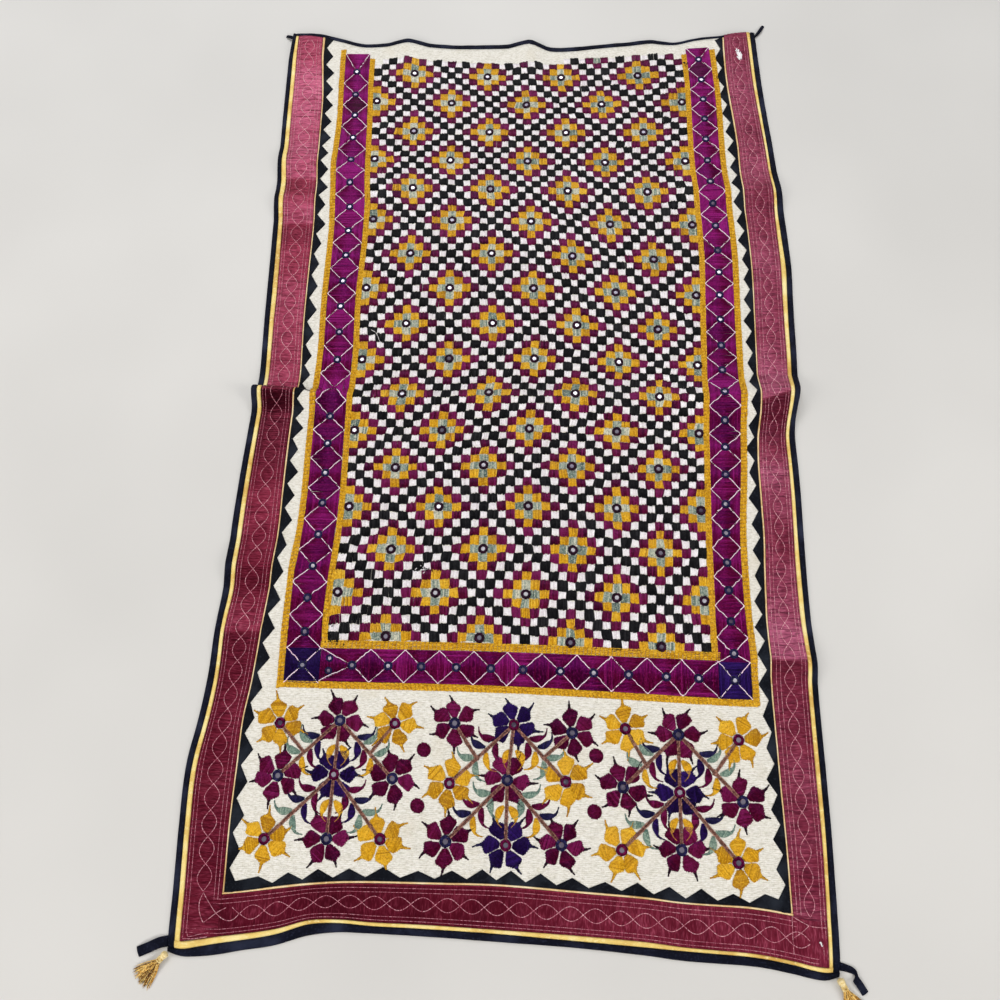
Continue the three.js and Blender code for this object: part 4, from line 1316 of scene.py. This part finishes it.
# Bands round the field: magenta diamonds between yellow lines, with couched zigzags and mirrors

YELLOW_WIDE = 10.5
LEFT_BAND = table_curve([(770, 48), (600, 48), (500, 53), (200, 50), (0, 52), (-300, 53), (-460, 54)])
RIGHT_BAND = table_curve([(770, 44), (600, 47), (400, 47), (200, 49), (-100, 49), (-200, 44), (-460, 49)])
FIELD_BOTTOM = table_curve([(-290, -385), (0, -384), (320, -389)])
BOTTOM_BAND = table_curve([(-360, 49), (0, 50), (380, 55)])
BAND_LIFT = 1.95
BAND_THREAD = 2.1
BAND_STITCH_WIDE = 1.25 * BAND_THREAD

# How much paler or darker the thread is painted along the side bands, as painted light and shade: most of all
# beside the big fold, painted shade below it and painted light above it
BAND_PAINTED_LIGHT = [
    (-460, -0.08), (-60, 0.0), (-20, -0.3), (28, -0.35), (33, 0.4), (55, 0.4), (80, 0.08), (700, 0.26),
]
BOTTOM_BAND_PLACE = -420


class Band:
    """A band between two curves: s runs along it in millimetres, and q from its inner edge outwards."""

    def __init__(self, inner, wide, outwards, upright):
        self.inner, self.wide, self.outwards, self.upright = inner, wide, outwards, upright

    def at(self, s, q):
        s, q = paired(s, q)
        return self.line(s, q * self.wide(s))

    # Painted light and shade of the thread at places along the band
    def painted_fold_light(self, s):
        return np.interp(s if self.upright else BOTTOM_BAND_PLACE, *zip(*BAND_PAINTED_LIGHT))

    def line(self, s, reach):
        """Places at a distance in millimetres outside the band's inner edge."""
        s, reach = paired(s, reach)
        return placed(s, self.inner(s) + self.outwards * reach, self.upright)


BANDS = {
    "left": Band(lambda y: FIELD_LEFT(y) - YELLOW_WIDE, LEFT_BAND, -1, True),
    "right": Band(lambda y: FIELD_RIGHT(y) + YELLOW_WIDE - 1, RIGHT_BAND, 1, True),
    "bottom": Band(lambda x: FIELD_BOTTOM(x) - YELLOW_WIDE - 1, BOTTOM_BAND, -1, False),
}
# Radii of glass and ring, and the first and last mirror along each band with the steps between them
BAND_MIRROR = (2.8, 7.2)
SMALL_MIRROR = (2.5, 6.0)
SMALL_MIRRORS_AT = -269
BAND_MIRRORS = {"left": (-372, 714, 21), "right": (-388, 740, 24), "bottom": (-232, 292, 10)}
BAND_ENDS = {"left": (-397, 760), "right": (-402, 768), "bottom": (-283, 319)}
band_threads = {side: Stitches() for side in SIDES}
zigzags = Stitches()
lines = Stitches()

# Couched zigzags: their width, lift and rise, the stitches' step, overlap and wobble, and the share worn away
ZIGZAG_WIDE = 1.05
ZIGZAG_LIFT = 3.0
ZIGZAG_RISE = 0.25
ZIGZAG_STEP = 5.0
ZIGZAG_OVERLAP = 0.08
ZIGZAG_WOBBLE = 0.55
ZIGZAG_WORN = 0.07
# How far each ends from its mirror, as a share of its way
ZIGZAG_CLEAR = 0.24


def couch(start, end, rng):
    """A white thread between two places, held down every few millimetres and worn through here and there."""
    count = max(2, round(np.linalg.norm(end - start) / ZIGZAG_STEP))
    points = start + np.linspace(0, 1, count + 1)[:, None] * (end - start)
    points[1:-1] += rng.normal(0, ZIGZAG_WOBBLE, (count - 1, 2))
    step = points[1:] - points[:-1]
    starts, ends = points[:-1] - ZIGZAG_OVERLAP * step, points[1:] + ZIGZAG_OVERLAP * step
    whole = rng.random(count) > ZIGZAG_WORN
    zigzags.add(starts[whole], ends[whole], ZIGZAG_WIDE * rng.uniform(0.8, 1.2), ZIGZAG_LIFT, ZIGZAG_RISE,
                rng.uniform(0.75, 1, np.count_nonzero(whole)))


# Spread of the tones from diamond to diamond, from triangle to triangle and from stitch to stitch
DIAMOND_TONES = 0.24
TRIANGLE_TONES = 0.16
STITCH_TONES = 0.22


def work_band(band, thread, places, ends, rng, tones, dark=(), bare=()):
    """Diamonds with stitches across the band, side triangles with stitches along it.

    Diamonds whose number is in dark are worked in a darker, less glossy thread as painted shade, and mirrors
    in bare are left out.
    """
    mids = np.concatenate([[ends[0]], (places[1:] + places[:-1]) / 2, [ends[1]]])
    diamonds = rng.normal(tones[0], DIAMOND_TONES, len(places) + 1)
    for k, place in enumerate(places):
        low, high = mids[k], mids[k + 1]
        for start, stop, number in ((low, place, k), (place, high, k + 1)):
            count = max(2, round(abs(stop - start) / BAND_THREAD))
            share = (np.arange(count) + 0.5) / count
            s = start + (stop - start) * share
            half = 0.5 * (1 - share if start != place else share)
            tone = rng.normal(diamonds[number], STITCH_TONES, count) + band.painted_fold_light(s)
            silk = threads["shaded"] if number in dark else thread
            silk.add(band.at(s, 0.5 - half), band.at(s + rng.normal(0, 0.3, count), 0.5 + half),
                     BAND_STITCH_WIDE, BAND_LIFT, THREAD_RISE, tone)
        for edge in (0, 1):
            count = max(2, round(0.5 * float(band.wide(place)) / BAND_THREAD))
            share = (np.arange(count) + 0.5) / count
            q = edge + (0.5 - edge) * share
            start, stop = low + (place - low) * share, high + (place - high) * share
            tone = rng.normal(tones[1], STITCH_TONES, count) + rng.normal(0, TRIANGLE_TONES)
            tone += band.painted_fold_light((start + stop) / 2)
            thread.add(band.at(start, q), band.at(stop, q), BAND_STITCH_WIDE, BAND_LIFT, THREAD_RISE, tone)
            for corner in (low, high):
                clear = (1 - ZIGZAG_CLEAR) * (np.array([place, 0.5]) - (corner, edge))
                couch(band.at(corner, edge), band.at(corner + clear[0], edge + clear[1]), rng)
        if k not in bare:
            add_mirror(band.at(place, 0.5), *BAND_MIRROR, threads["ring"])


# Tones of the diamonds and of the side triangles: the triangles are painted paler, as painted sheen of their
# stitches along the band
BAND_TONES = (0.38, 0.54)
# Diamonds in the darker, less glossy thread of painted shade
DARK_DIAMONDS = {"left": (20,), "right": (24,), "bottom": ()}
BARE_MIRRORS = {"left": (8,), "right": (), "bottom": ()}
for number, side in enumerate(SIDES):
    rng = np.random.default_rng(71 + number)
    first, last, steps = BAND_MIRRORS[side]
    places = np.linspace(first, last, steps + 1) + rng.normal(0, 1.6, steps + 1)
    work_band(BANDS[side], band_threads[side], places, BAND_ENDS[side], rng, BAND_TONES,
              DARK_DIAMONDS[side], BARE_MIRRORS[side])

# Purple squares at the lower corners, and a pair of small mirrors beside the left one
corner_threads = Stitches()
for side, ends, tones in (("left", (-449, -396), (0.05, 0.2)), ("right", (-456, -401), (0.55, 0.85))):
    work_band(BANDS[side], corner_threads, np.array([sum(ends) / 2]), ends, np.random.default_rng(81), tones)
for share in (0.3, 0.68):
    add_mirror(BANDS["bottom"].at(SMALL_MIRRORS_AT, share), *SMALL_MIRROR, threads["ring"])

# Yellow lines on both sides of the bands, as rows of chain stitch
LINE_ROWS = 5
CHAIN = 6.2
CHAIN_WIDE = 2.7
CHAIN_RISE = 1.0
LINE_PATHS = [
    (BANDS["left"], lambda s: np.full(s.shape, -YELLOW_WIDE), YELLOW_WIDE, (-393, 745)),
    (BANDS["left"], lambda s: LEFT_BAND(s) + 0.4, YELLOW_WIDE, (-458, 770)),
    (BANDS["right"], lambda s: np.full(s.shape, -YELLOW_WIDE + 1), YELLOW_WIDE, (-393, 757)),
    (BANDS["right"], lambda s: RIGHT_BAND(s) + 0.4, YELLOW_WIDE, (-465, 765)),
    (BANDS["bottom"], lambda s: np.full(s.shape, -YELLOW_WIDE - 2.2), YELLOW_WIDE + 2.2, (-286, 319)),
    (BANDS["bottom"], lambda s: BOTTOM_BAND(s) + 0.4, YELLOW_WIDE, (-346, 372)),
]
rng = np.random.default_rng(91)
for band, inner, wide, (low, high) in LINE_PATHS:
    for row in range(LINE_ROWS):
        s = np.arange(low, high - 0.5 * CHAIN, CHAIN) + rng.uniform(-1.5, 1.5)
        reach = inner(s) + (row + 0.5) * (wide - 0.6) / LINE_ROWS + rng.normal(0, 0.15, len(s))
        stop = s + 1.12 * CHAIN
        lines.add(band.line(s, reach), band.line(stop, reach + rng.normal(0, 0.2, len(s))),
                  CHAIN_WIDE, BAND_LIFT, CHAIN_RISE, rng.normal(0.5, 0.18, len(s)))


# Flower band: three groups of nine flowers with stems and leaves

PETALS = 6
# Half width of a petal at distances from its flower's middle
PETAL_REACH = (9, 12, 16, 20, 24, 27, 29.5, 32, 34)
PETAL_HALF = (4.2, 6.2, 8.8, 11.0, 12.6, 12.2, 9.0, 4.8, 2.4)
PETAL_PITCH = 1.7
PETAL_OVERLAP = 1.3
PETAL_SLANT = 0.16
PETAL_RISE = 0.9
PETAL_HOOK = (14.5, 4.9)
HOOK_TAPER = np.array([1, 0.75, 0.45])
HOOK_OVERLAP = 0.2
# Middle of each flower, its thread, and its turn in degrees from a petal that points up the cloth
FLOWERS = {
    "left": [
        (-335, -508, "marigold", 10), (-245, -502, "magenta", 22), (-162, -504, "marigold", 20),
        (-330, -582, "magenta", -12), (-247, -578, "purple", 30), (-161, -581, "magenta", 12),
        (-340, -668, "marigold", -4), (-250, -665, "magenta", 30), (-173, -663, "marigold", 12),
    ],
    "middle": [
        (-73, -501, "magenta", 5), (15, -501, "purple", 13), (101, -510, "magenta", 12),
        (-77, -585, "marigold", -8), (7, -578, "magenta", 25), (92, -578, "marigold", 4),
        (-79, -663, "magenta", -3), (7, -665, "purple", 30), (86, -662, "magenta", 22),
    ],
    "right": [
        (179, -502, "marigold", 4), (256, -508, "magenta", 33), (343, -513, "marigold", 38),
        (174, -583, "magenta", 16), (255, -587, "purple", 30), (344, -597, "magenta", 3),
        (171, -666, "marigold", 38), (255, -663, "magenta", 30), (333, -677, "marigold", 2),
    ],
}
FLOWER_LIFT = 1.85
LEAF_RISE = 0.8


def work_hook(thread, root, heading, bend, length, wide, rng):
    """A short curved line of stitches that thins out, as at a petal's tip."""
    t = np.linspace(0, 1, 4)
    side = leftwards(heading)
    points = root + length * t[:, None] * heading + bend * (t ** 2)[:, None] * side
    step = points[1:] - points[:-1]
    thread.add(points[:-1] - HOOK_OVERLAP * step, points[1:] + HOOK_OVERLAP * step, wide * HOOK_TAPER,
               FLOWER_LIFT, LEAF_RISE, rng.uniform(0, 0.3, 3))


def work_petal(thread, tip_thread, middle, angle, size, bend, rng):
    """Slanted satin stitches across a kite, and a hook at its tip."""
    heading = ray(angle)
    side = leftwards(heading)
    span = PETAL_REACH[-1] - PETAL_REACH[0]
    count = round(span * size / PETAL_PITCH)
    reach = PETAL_REACH[0] + span * (np.arange(count) + 0.5) / count
    half = size * np.interp(reach, PETAL_REACH, PETAL_HALF)
    reach = size * reach
    slant = PETAL_SLANT * half * bend
    edge = rng.normal(0, 0.3, (2, count))
    start = middle + (reach + slant)[:, None] * heading + (half + edge[0])[:, None] * side
    end = middle + (reach - slant)[:, None] * heading - (half + edge[1])[:, None] * side
    tone = rng.uniform(0.05, 0.85) + rng.normal(0, 0.2, count)
    thread.add(start, end, PETAL_OVERLAP * PETAL_PITCH, FLOWER_LIFT, PETAL_RISE, tone)
    root = middle + size * (PETAL_REACH[-1] - 4) * heading
    long, wide = PETAL_HOOK
    work_hook(tip_thread, root, heading, rng.uniform(-5, 5), long * size * rng.uniform(0.8, 1.15), wide, rng)


MAGENTA_MIRROR = (3.5, 8.6)
FLOWER_MIRROR = (3.3, 8.4)
TIP_THREADS = {"marigold": "marigold", "magenta": "dark_ring", "purple": "ring"}


def work_flower(middle, name, turn, rng):
    size = rng.uniform(0.95, 1.02)
    bend = rng.choice([-1, 1])
    for k in range(PETALS):
        angle = math.radians(90 + turn + 360 * k / PETALS) + rng.normal(0, 0.05)
        own_size = size * rng.uniform(0.94, 1.05)
        work_petal(threads[name], threads[TIP_THREADS[name]], middle, angle, own_size, bend, rng)
    if name == "magenta":
        add_mirror(middle, *MAGENTA_MIRROR, threads["ring"], (0.0, 0.7), 0.4)
    else:
        add_mirror(middle, *FLOWER_MIRROR, threads["magenta"], (0.0, 0.4), 0.5)


# Stems: how far they end from a flower's middle, and the step, length, width and spacing of their chains
STEM_TRIM = 7.5
STEM_STEP = 5.0
STEM_CHAIN = 5.8
STEM_WIDE = 1.9
STEM_ROWS = 1.6
STEM_LIFT = FLOWER_LIFT + 0.6


def work_stem(start, end, rng, trim=(STEM_TRIM, STEM_TRIM)):
    """Three rows of chain stitch side by side."""
    way = end - start
    length = np.linalg.norm(way)
    heading = way / length
    side = leftwards(heading)
    s = np.arange(trim[0], length - trim[1], STEM_STEP)
    for row in (-1, 0, 1):
        base = start + s[:, None] * heading + row * STEM_ROWS * side + rng.normal(0, 0.2, (len(s), 2))
        tone = rng.normal(0.3 if row == 0 else 0.65, 0.24, len(s))
        threads["brown"].add(base, base + STEM_CHAIN * heading, STEM_WIDE, STEM_LIFT, LEAF_RISE, tone)


LEAF = (22.0, 6.0, 6.5)
LOBE = (21.0, 6.6, 6.0)
LEAF_STITCHES = 13
LEAF_STITCH_WIDE = 2.3
LEAF_HOOK = (10.5, 4.0)
LEAF_CURL = 8


def work_leaf(name, root, angle, bend, rng, shape=LEAF):
    """A bent leaf of slanted stitches with a curled tip: its length, half width and bend."""
    long, wide, curve = shape
    heading = ray(angle)
    side = leftwards(heading)
    share = (np.arange(LEAF_STITCHES) + 0.5) / LEAF_STITCHES
    spine = root + long * share[:, None] * heading + curve * bend * (share ** 2)[:, None] * side
    half = wide * np.sin(math.pi * (0.08 + 0.88 * share)) ** 0.8
    start = spine + half[:, None] * (side + 0.7 * heading)
    end = spine - half[:, None] * (side - 0.2 * heading)
    tone = rng.normal(0.5, 0.2, LEAF_STITCHES)
    threads[name].add(start, end, LEAF_STITCH_WIDE, FLOWER_LIFT, LEAF_RISE, tone)
    tip = root + 0.95 * long * heading + 0.9 * curve * bend * side
    curl = ray(angle + bend * 0.7)
    work_hook(threads[name], tip, curl, LEAF_CURL * bend, *LEAF_HOOK, rng)


# Leaves of a stem: share of its length, side (1 for its outer side), heading from the stem, thread
UPPER_LEAVES = [
    (0.30, 1, 0.55, "ring"), (0.42, 1, 1.0, "sage"), (0.62, 1, 0.9, "sage"),
    (0.34, -1, 0.45, "purple"), (0.48, -1, 0.6, "magenta"), (0.62, -1, 0.7, "marigold"),
]
LOWER_LEAVES = [
    (0.24, 1, 0.6, "magenta"), (0.40, 1, 0.55, "ring"), (0.58, 1, 0.5, "sage"),
    (0.26, -1, 0.4, "magenta"), (0.42, -1, 0.5, "purple"), (0.60, -1, 0.65, "sage"),
]
MIDDLE_UPPER_LEAVES = [
    (0.26, 1, 0.6, "magenta"), (0.42, 1, 0.9, "ring"), (0.58, 1, 0.5, "sage"),
    (0.28, -1, 0.5, "magenta"), (0.44, -1, 0.65, "marigold"), (0.60, -1, 0.6, "sage"),
]
MIDDLE_LOWER_LEAVES = [
    (0.24, 1, 0.6, "sage"), (0.42, 1, 0.6, "magenta"), (0.56, 1, 0.5, "ring"),
    (0.26, -1, 0.45, "sage"), (0.42, -1, 0.5, "magenta"), (0.56, -1, 0.55, "marigold"),
]


def work_side_stem(start, end, outer, leaves, rng):
    work_stem(start, end, rng)
    way = end - start
    angle = math.atan2(way[1], way[0])
    for share, side, turn, name in leaves:
        root = start + share * way + 3 * side * outer * ray(angle + math.pi / 2)
        work_leaf(name, root, angle + side * outer * turn, side * outer, rng)


def work_group(group, number):
    rng = np.random.default_rng(101 + number)
    spots = [np.array([x, y], float) for x, y, *_ in FLOWERS[group]]
    for spot, (_, _, name, turn) in zip(spots, FLOWERS[group]):
        work_flower(spot, name, turn, rng)
    upper_leaves = MIDDLE_UPPER_LEAVES if group == "middle" else UPPER_LEAVES
    lower_leaves = MIDDLE_LOWER_LEAVES if group == "middle" else LOWER_LEAVES
    top, heart, foot = spots[1], spots[4], spots[7]
    for outer, column in ((-1, 0), (1, 2)):
        shoulder, upper, lower = spots[column::3]
        work_side_stem(top, upper, outer, upper_leaves, rng)
        work_side_stem(heart, lower, outer, lower_leaves, rng)
        work_stem(shoulder, top + 0.58 * (upper - top), rng, trim=(STEM_TRIM, 0))
    for high, low in ((top, heart), (heart, foot)):
        work_stem(high, low, rng)
        for way in (-1, 1):
            work_leaf("marigold", high + np.array([3 * way, -35]), -math.pi / 2 + 0.8 * way, -way, rng, LOBE)


for number, group in enumerate(FLOWERS):
    work_group(group, number)

DOTS = [(-117, -540), (-122, -617), (136, -541), (133, -617)]
DOT_RADIUS = 9.5
DOT_PITCH = 1.75
DOT_WIDE = 2.4
DOT_SLANT = 0.6
for number, (x, y) in enumerate(DOTS):
    rng = np.random.default_rng(111 + number)
    off = np.arange(-DOT_RADIUS + 0.9, DOT_RADIUS, DOT_PITCH)
    half = np.sqrt(DOT_RADIUS ** 2 - off ** 2) + 1.6
    threads["magenta"].add(
        np.stack([x - half, y + off + DOT_SLANT], axis=1), np.stack([x + half, y + off - DOT_SLANT], axis=1),
        DOT_WIDE, FLOWER_LIFT, PETAL_RISE, rng.normal(0.35, 0.12, len(off)))


# Worn places and loose threads on the embroidery

LOOSE_LIFT = 2.9
loose_white, loose_black = Stitches(), Stitches()
rng = np.random.default_rng(115)
for thread, middle, spread, count in (
        (loose_white, (-134, -268), (3.5, 3.0), 9), (loose_black, (-128, -270), (4.5, 2.5), 8),
        (loose_white, (-138, -358), (3.0, 2.5), 8), (loose_black, (-262, -386), (6.0, 3.0), 9),
        (loose_black, (-271, -366), (2.5, 6.0), 7), (loose_black, (318, 730), (3.0, 2.0), 6)):
    fray(thread, middle, spread, count, LOOSE_LIFT, rng)
for thread, line in (
        (loose_white, [(-249, 151), (-240, 146), (-236, 139), (-233, 131), (-229, 125)]),
        (loose_black, [(-359, 30), (-350, 29), (-340, 28)])):
    line = np.array(line, float)
    thread.add(line[:-1], line[1:], 0.9, LOOSE_LIFT, 0.6, 0.6)


# Building the embroidery

FIELD_LOOKS = {
    "white": WHITE, "black": BLACK, "magenta": MAGENTA_CELLS, "marigold": MARIGOLD, "sage": SAGE,
}
embroidery = [
    field[name].piece(f"field_{name}", look, f"thread_{name}") for name, look in FIELD_LOOKS.items()
]
embroidery += [
    lines.piece("band_lines", MARIGOLD, "thread_marigold"),
    zigzags.piece("band_zigzags", ZIGZAG, "thread_white", soft=False),
    corner_threads.piece("band_corners", PURPLE, "thread_purple"),
    threads["magenta"].piece("flowers_magenta", MAGENTA_FLOWERS, "thread_magenta"),
    threads["purple"].piece("flowers_purple", PURPLE, "thread_purple"),
    threads["marigold"].piece("flowers_marigold", MARIGOLD, "thread_marigold"),
    threads["sage"].piece("leaves_sage", SAGE_LEAVES, "thread_sage"),
    threads["brown"].piece("stems", BROWN, "thread_brown"),
    threads["ring"].piece("mirror_rings", RING, "thread_black"),
    threads["dark_ring"].piece("field_rings", DARK_RING, "thread_black"),
    threads["shaded"].piece("band_shaded_magenta", SHADED_MAGENTA, "thread_magenta"),
    loose_white.piece("loose_white", WHITE, "thread_white"),
    loose_black.piece("loose_black", BLACK, "thread_black"),
    add_piece("mirrors", np.vstack(mirror_points), np.array(mirror_faces), MIRROR, "mirror_glass",
              np.concatenate(painted_mirror_reflections), soft=False),
]
embroidery += [
    band_threads[side].piece(f"band_{side}", MAGENTA, "thread_magenta") for side in SIDES
]
panel, panel_flat = panel_piece()


# Tassels: a bound head, and strands that fan out over the floor

TASSEL_HEADINGS = {"left": 226, "right": 297}
TASSEL_FAN = math.radians(50)
# Radius of the head at distances from its root
HEAD_PROFILE = [
    (0, 0.2), (2.9, 1.2), (4.8, 4.6), (4.1, 8.6), (3.5, 10.8), (4.3, 13.4), (3.4, 15.6), (0.6, 16.4),
]
HEAD_MIDDLE = 5.0
HEAD_SIDES = 20
HEAD_STATIONS = 26
# Turns of thread that bind the head: the first one's place, their step, radius, thickness and stations
WRAPS = 5
WRAP_FROM = 10.2
WRAP_STEP = 0.55
WRAP_RADIUS = 4.0
WRAP_THICK = 0.5
WRAP_STATIONS = 17
STRANDS = 80
STRANDS_FROM = 12.5
STRANDS_HELD = 11.0
STRAND_THICK = 0.62
STRAND_SIDES = 5
STRAND_STATIONS = 9
# Share of dark strands in each tassel, most of them on its left
DARK_STRANDS = {"left": 0.42, "right": 0.2}


def tube(path, radii, sides):
    """A closed tube along a path, with its own radius at each station."""
    ahead = np.gradient(path, axis=0)
    ahead /= np.linalg.norm(ahead, axis=1, keepdims=True)
    side = np.cross(ahead, (0, 0, 1.0))
    side /= np.maximum(np.linalg.norm(side, axis=1, keepdims=True), 1e-6)
    over = np.cross(side, ahead)
    angle = 2 * math.pi * np.arange(sides) / sides
    ring = np.cos(angle)[None, :, None] * side[:, None] + np.sin(angle)[None, :, None] * over[:, None]
    points = (path[:, None] + np.asarray(radii)[:, None, None] * ring).reshape(-1, 3)
    n = len(path)
    faces = []
    for k in range(n - 1):
        for s in range(sides):
            a, b = k * sides + s, k * sides + (s + 1) % sides
            faces.append([a, b, b + sides, a + sides])
    faces.append(list(range(sides))[::-1])
    faces.append([(n - 1) * sides + s for s in range(sides)])
    return points, faces


def joined(parts):
    """Points, faces and tones of many closed meshes as one."""
    points, faces, tones, count = [], [], [], 0
    for part_points, part_faces, tone in parts:
        points.append(part_points)
        faces += [[v + count for v in face] for face in outward(part_points, part_faces)]
        tones.append(np.full(len(part_points), tone))
        count += len(part_points)
    return np.vstack(points), faces, np.concatenate(tones)


def tassel_pieces(side, seed):
    rng = np.random.default_rng(seed)
    node = f"tassel_{side}"
    points, _ = solid_mesh(node)
    heading = ray(math.radians(TASSEL_HEADINGS[side]))
    across = leftwards(heading)
    along = points[:, :2] @ heading
    first = along < along.min() + 4
    root = along.min() * heading + (points[first, :2] @ across).mean() * across

    def place(out, off, z):
        xy = root + np.outer(out, heading) + np.outer(off, across)
        return np.column_stack([xy, np.broadcast_to(z, len(xy))])

    profile = np.array(HEAD_PROFILE)
    out = np.linspace(profile[0, 1], profile[-1, 1], HEAD_STATIONS)
    radii = smooth(out, profile[:, 1], profile[:, 0]) * (1 + 0.05 * np.sin(2.6 * out))
    head = [(*tube(place(out, 0 * out, HEAD_MIDDLE), np.maximum(radii, 0.2), HEAD_SIDES), 0.6)]
    turn = np.linspace(0, 2 * math.pi, WRAP_STATIONS)
    for k in range(WRAPS):
        at = WRAP_FROM + WRAP_STEP * k + 0.1 * turn
        wrap = place(at, WRAP_RADIUS * np.cos(turn), HEAD_MIDDLE + WRAP_RADIUS * np.sin(turn))
        head.append((*tube(wrap, np.full(WRAP_STATIONS, WRAP_THICK), STRAND_SIDES), rng.uniform(0.1, 0.5)))
    points, faces, tones = joined(head)
    knot = add_piece(f"{node}_head", points, faces, KNOT, "tassel_gold", tones)
    reach = along.max() - along.min() - STRANDS_HELD
    strands = []
    for k in range(STRANDS):
        angle = TASSEL_FAN * (k / (STRANDS - 1) - 0.5) + rng.normal(0, 0.05)
        length = reach * rng.uniform(0.78, 1.0)
        t = np.linspace(0, 1, STRAND_STATIONS)
        wave = rng.uniform(0.4, 1.4) * np.sin(2 * math.pi * (rng.uniform(0.6, 1.3) * t + rng.uniform())) * t
        out = STRANDS_FROM + length * t * math.cos(angle)
        off = rng.uniform(-2.4, 2.4) * (1 - t) + length * t * math.sin(angle) + wave
        height = (HEAD_MIDDLE + rng.uniform(-2.6, 2.6)) * (1 - np.clip(t / 0.55, 0, 1)) ** 1.5
        height += 0.75 + rng.uniform(0, 2.2) * (1 - t) + rng.uniform(0, 0.8) * t
        dark = rng.uniform() < DARK_STRANDS[side] * (1.8 if angle > 0 else 0.4)
        tone = rng.uniform(0.0, 0.2) if dark else rng.uniform(0.35, 1.0)
        radii = STRAND_THICK * np.interp(t, (0, 0.8, 1), (1, 1.05, 0.45))
        strands.append((*tube(place(out, off, height), radii, STRAND_SIDES), tone))
    points, faces, tones = joined(strands)
    skein = add_piece(f"{node}_strands", points, faces, TASSEL, "tassel_gold", tones)
    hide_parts(node)
    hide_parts(node)


for number, side in enumerate(("left", "right")):
    tassel_pieces(side, 121 + number)


# Floor, lights and camera

FLOOR_SIZE = 12.0
FLOOR_DROP = 0.0004
floor_mesh = bpy.data.meshes.new("floor")
reach = FLOOR_SIZE / 2
floor_mesh.from_pydata(
    [(-reach, -reach, -FLOOR_DROP), (reach, -reach, -FLOOR_DROP), (reach, reach, -FLOOR_DROP),
     (-reach, reach, -FLOOR_DROP)], [], [(0, 1, 2, 3)])
floor = bpy.data.objects.new("floor", floor_mesh)
floor_mesh.materials.append(floor_look())
bpy.context.scene.collection.objects.link(floor)


def area_light(name, place, target, size, power, tint, shine=False):
    """A soft light: only one that shines is seen in mirrors and gloss."""
    light = bpy.data.lights.new(name, "AREA")
    light.shape = "RECTANGLE"
    light.size, light.size_y = size
    light.energy = power
    light.color = tint
    lamp = bpy.data.objects.new(name, light)
    lamp.location = place
    lamp.visible_glossy = shine
    lamp.rotation_euler = (Vector(target) - Vector(place)).to_track_quat("-Z", "Y").to_euler()
    bpy.context.scene.collection.objects.link(lamp)


area_light("window", (-0.3, 2.0, 2.4), (0.0, 0.4, 0.0), (2.9, 2.4), 70, (0.97, 0.98, 1.0), shine=True)
FILL_TINT = (1.0, 0.98, 0.96)
for name, x in (("left_fill", -2.6), ("right_fill", 2.6)):
    area_light(name, (x, -0.9, 1.7), (0.0, -0.3, 0.0), (1.2, 1.6), 40, FILL_TINT)
area_light("near_fill", (0.0, -3.2, 1.9), (0.0, -0.4, 0.0), (2.4, 1.2), 50, FILL_TINT)
world = bpy.data.worlds.new("room")
world.use_nodes = True
world.node_tree.nodes["Background"].inputs["Color"].default_value = (0.95, 0.97, 1.0, 1)
world.node_tree.nodes["Background"].inputs["Strength"].default_value = 0.13
bpy.context.scene.world = world
bpy.context.scene.view_settings.view_transform = "Standard"

# The camera stands over the lower end of the cloth and looks down its length
CAMERA_PLACE = np.array([33.2, -499.5, 1163.6])
CAMERA_AHEAD = Vector((-0.0401, 0.2849, -0.9577))
CAMERA_UP = Vector((-0.0174, 0.9582, 0.2857))
CAMERA_LENS = 27.04
camera = bpy.data.cameras.new("camera")
camera.lens = CAMERA_LENS
camera.sensor_width = 36.0
viewer = bpy.data.objects.new("camera", camera)
right = CAMERA_AHEAD.cross(CAMERA_UP).normalized()
up = right.cross(CAMERA_AHEAD).normalized()
turn = Matrix((right, up, -CAMERA_AHEAD.normalized())).transposed().to_4x4()
viewer.matrix_world = Matrix.Translation(Vector((CAMERA_PLACE + ORIGIN) * MM)) @ turn
bpy.context.scene.collection.objects.link(viewer)
bpy.context.scene.camera = viewer
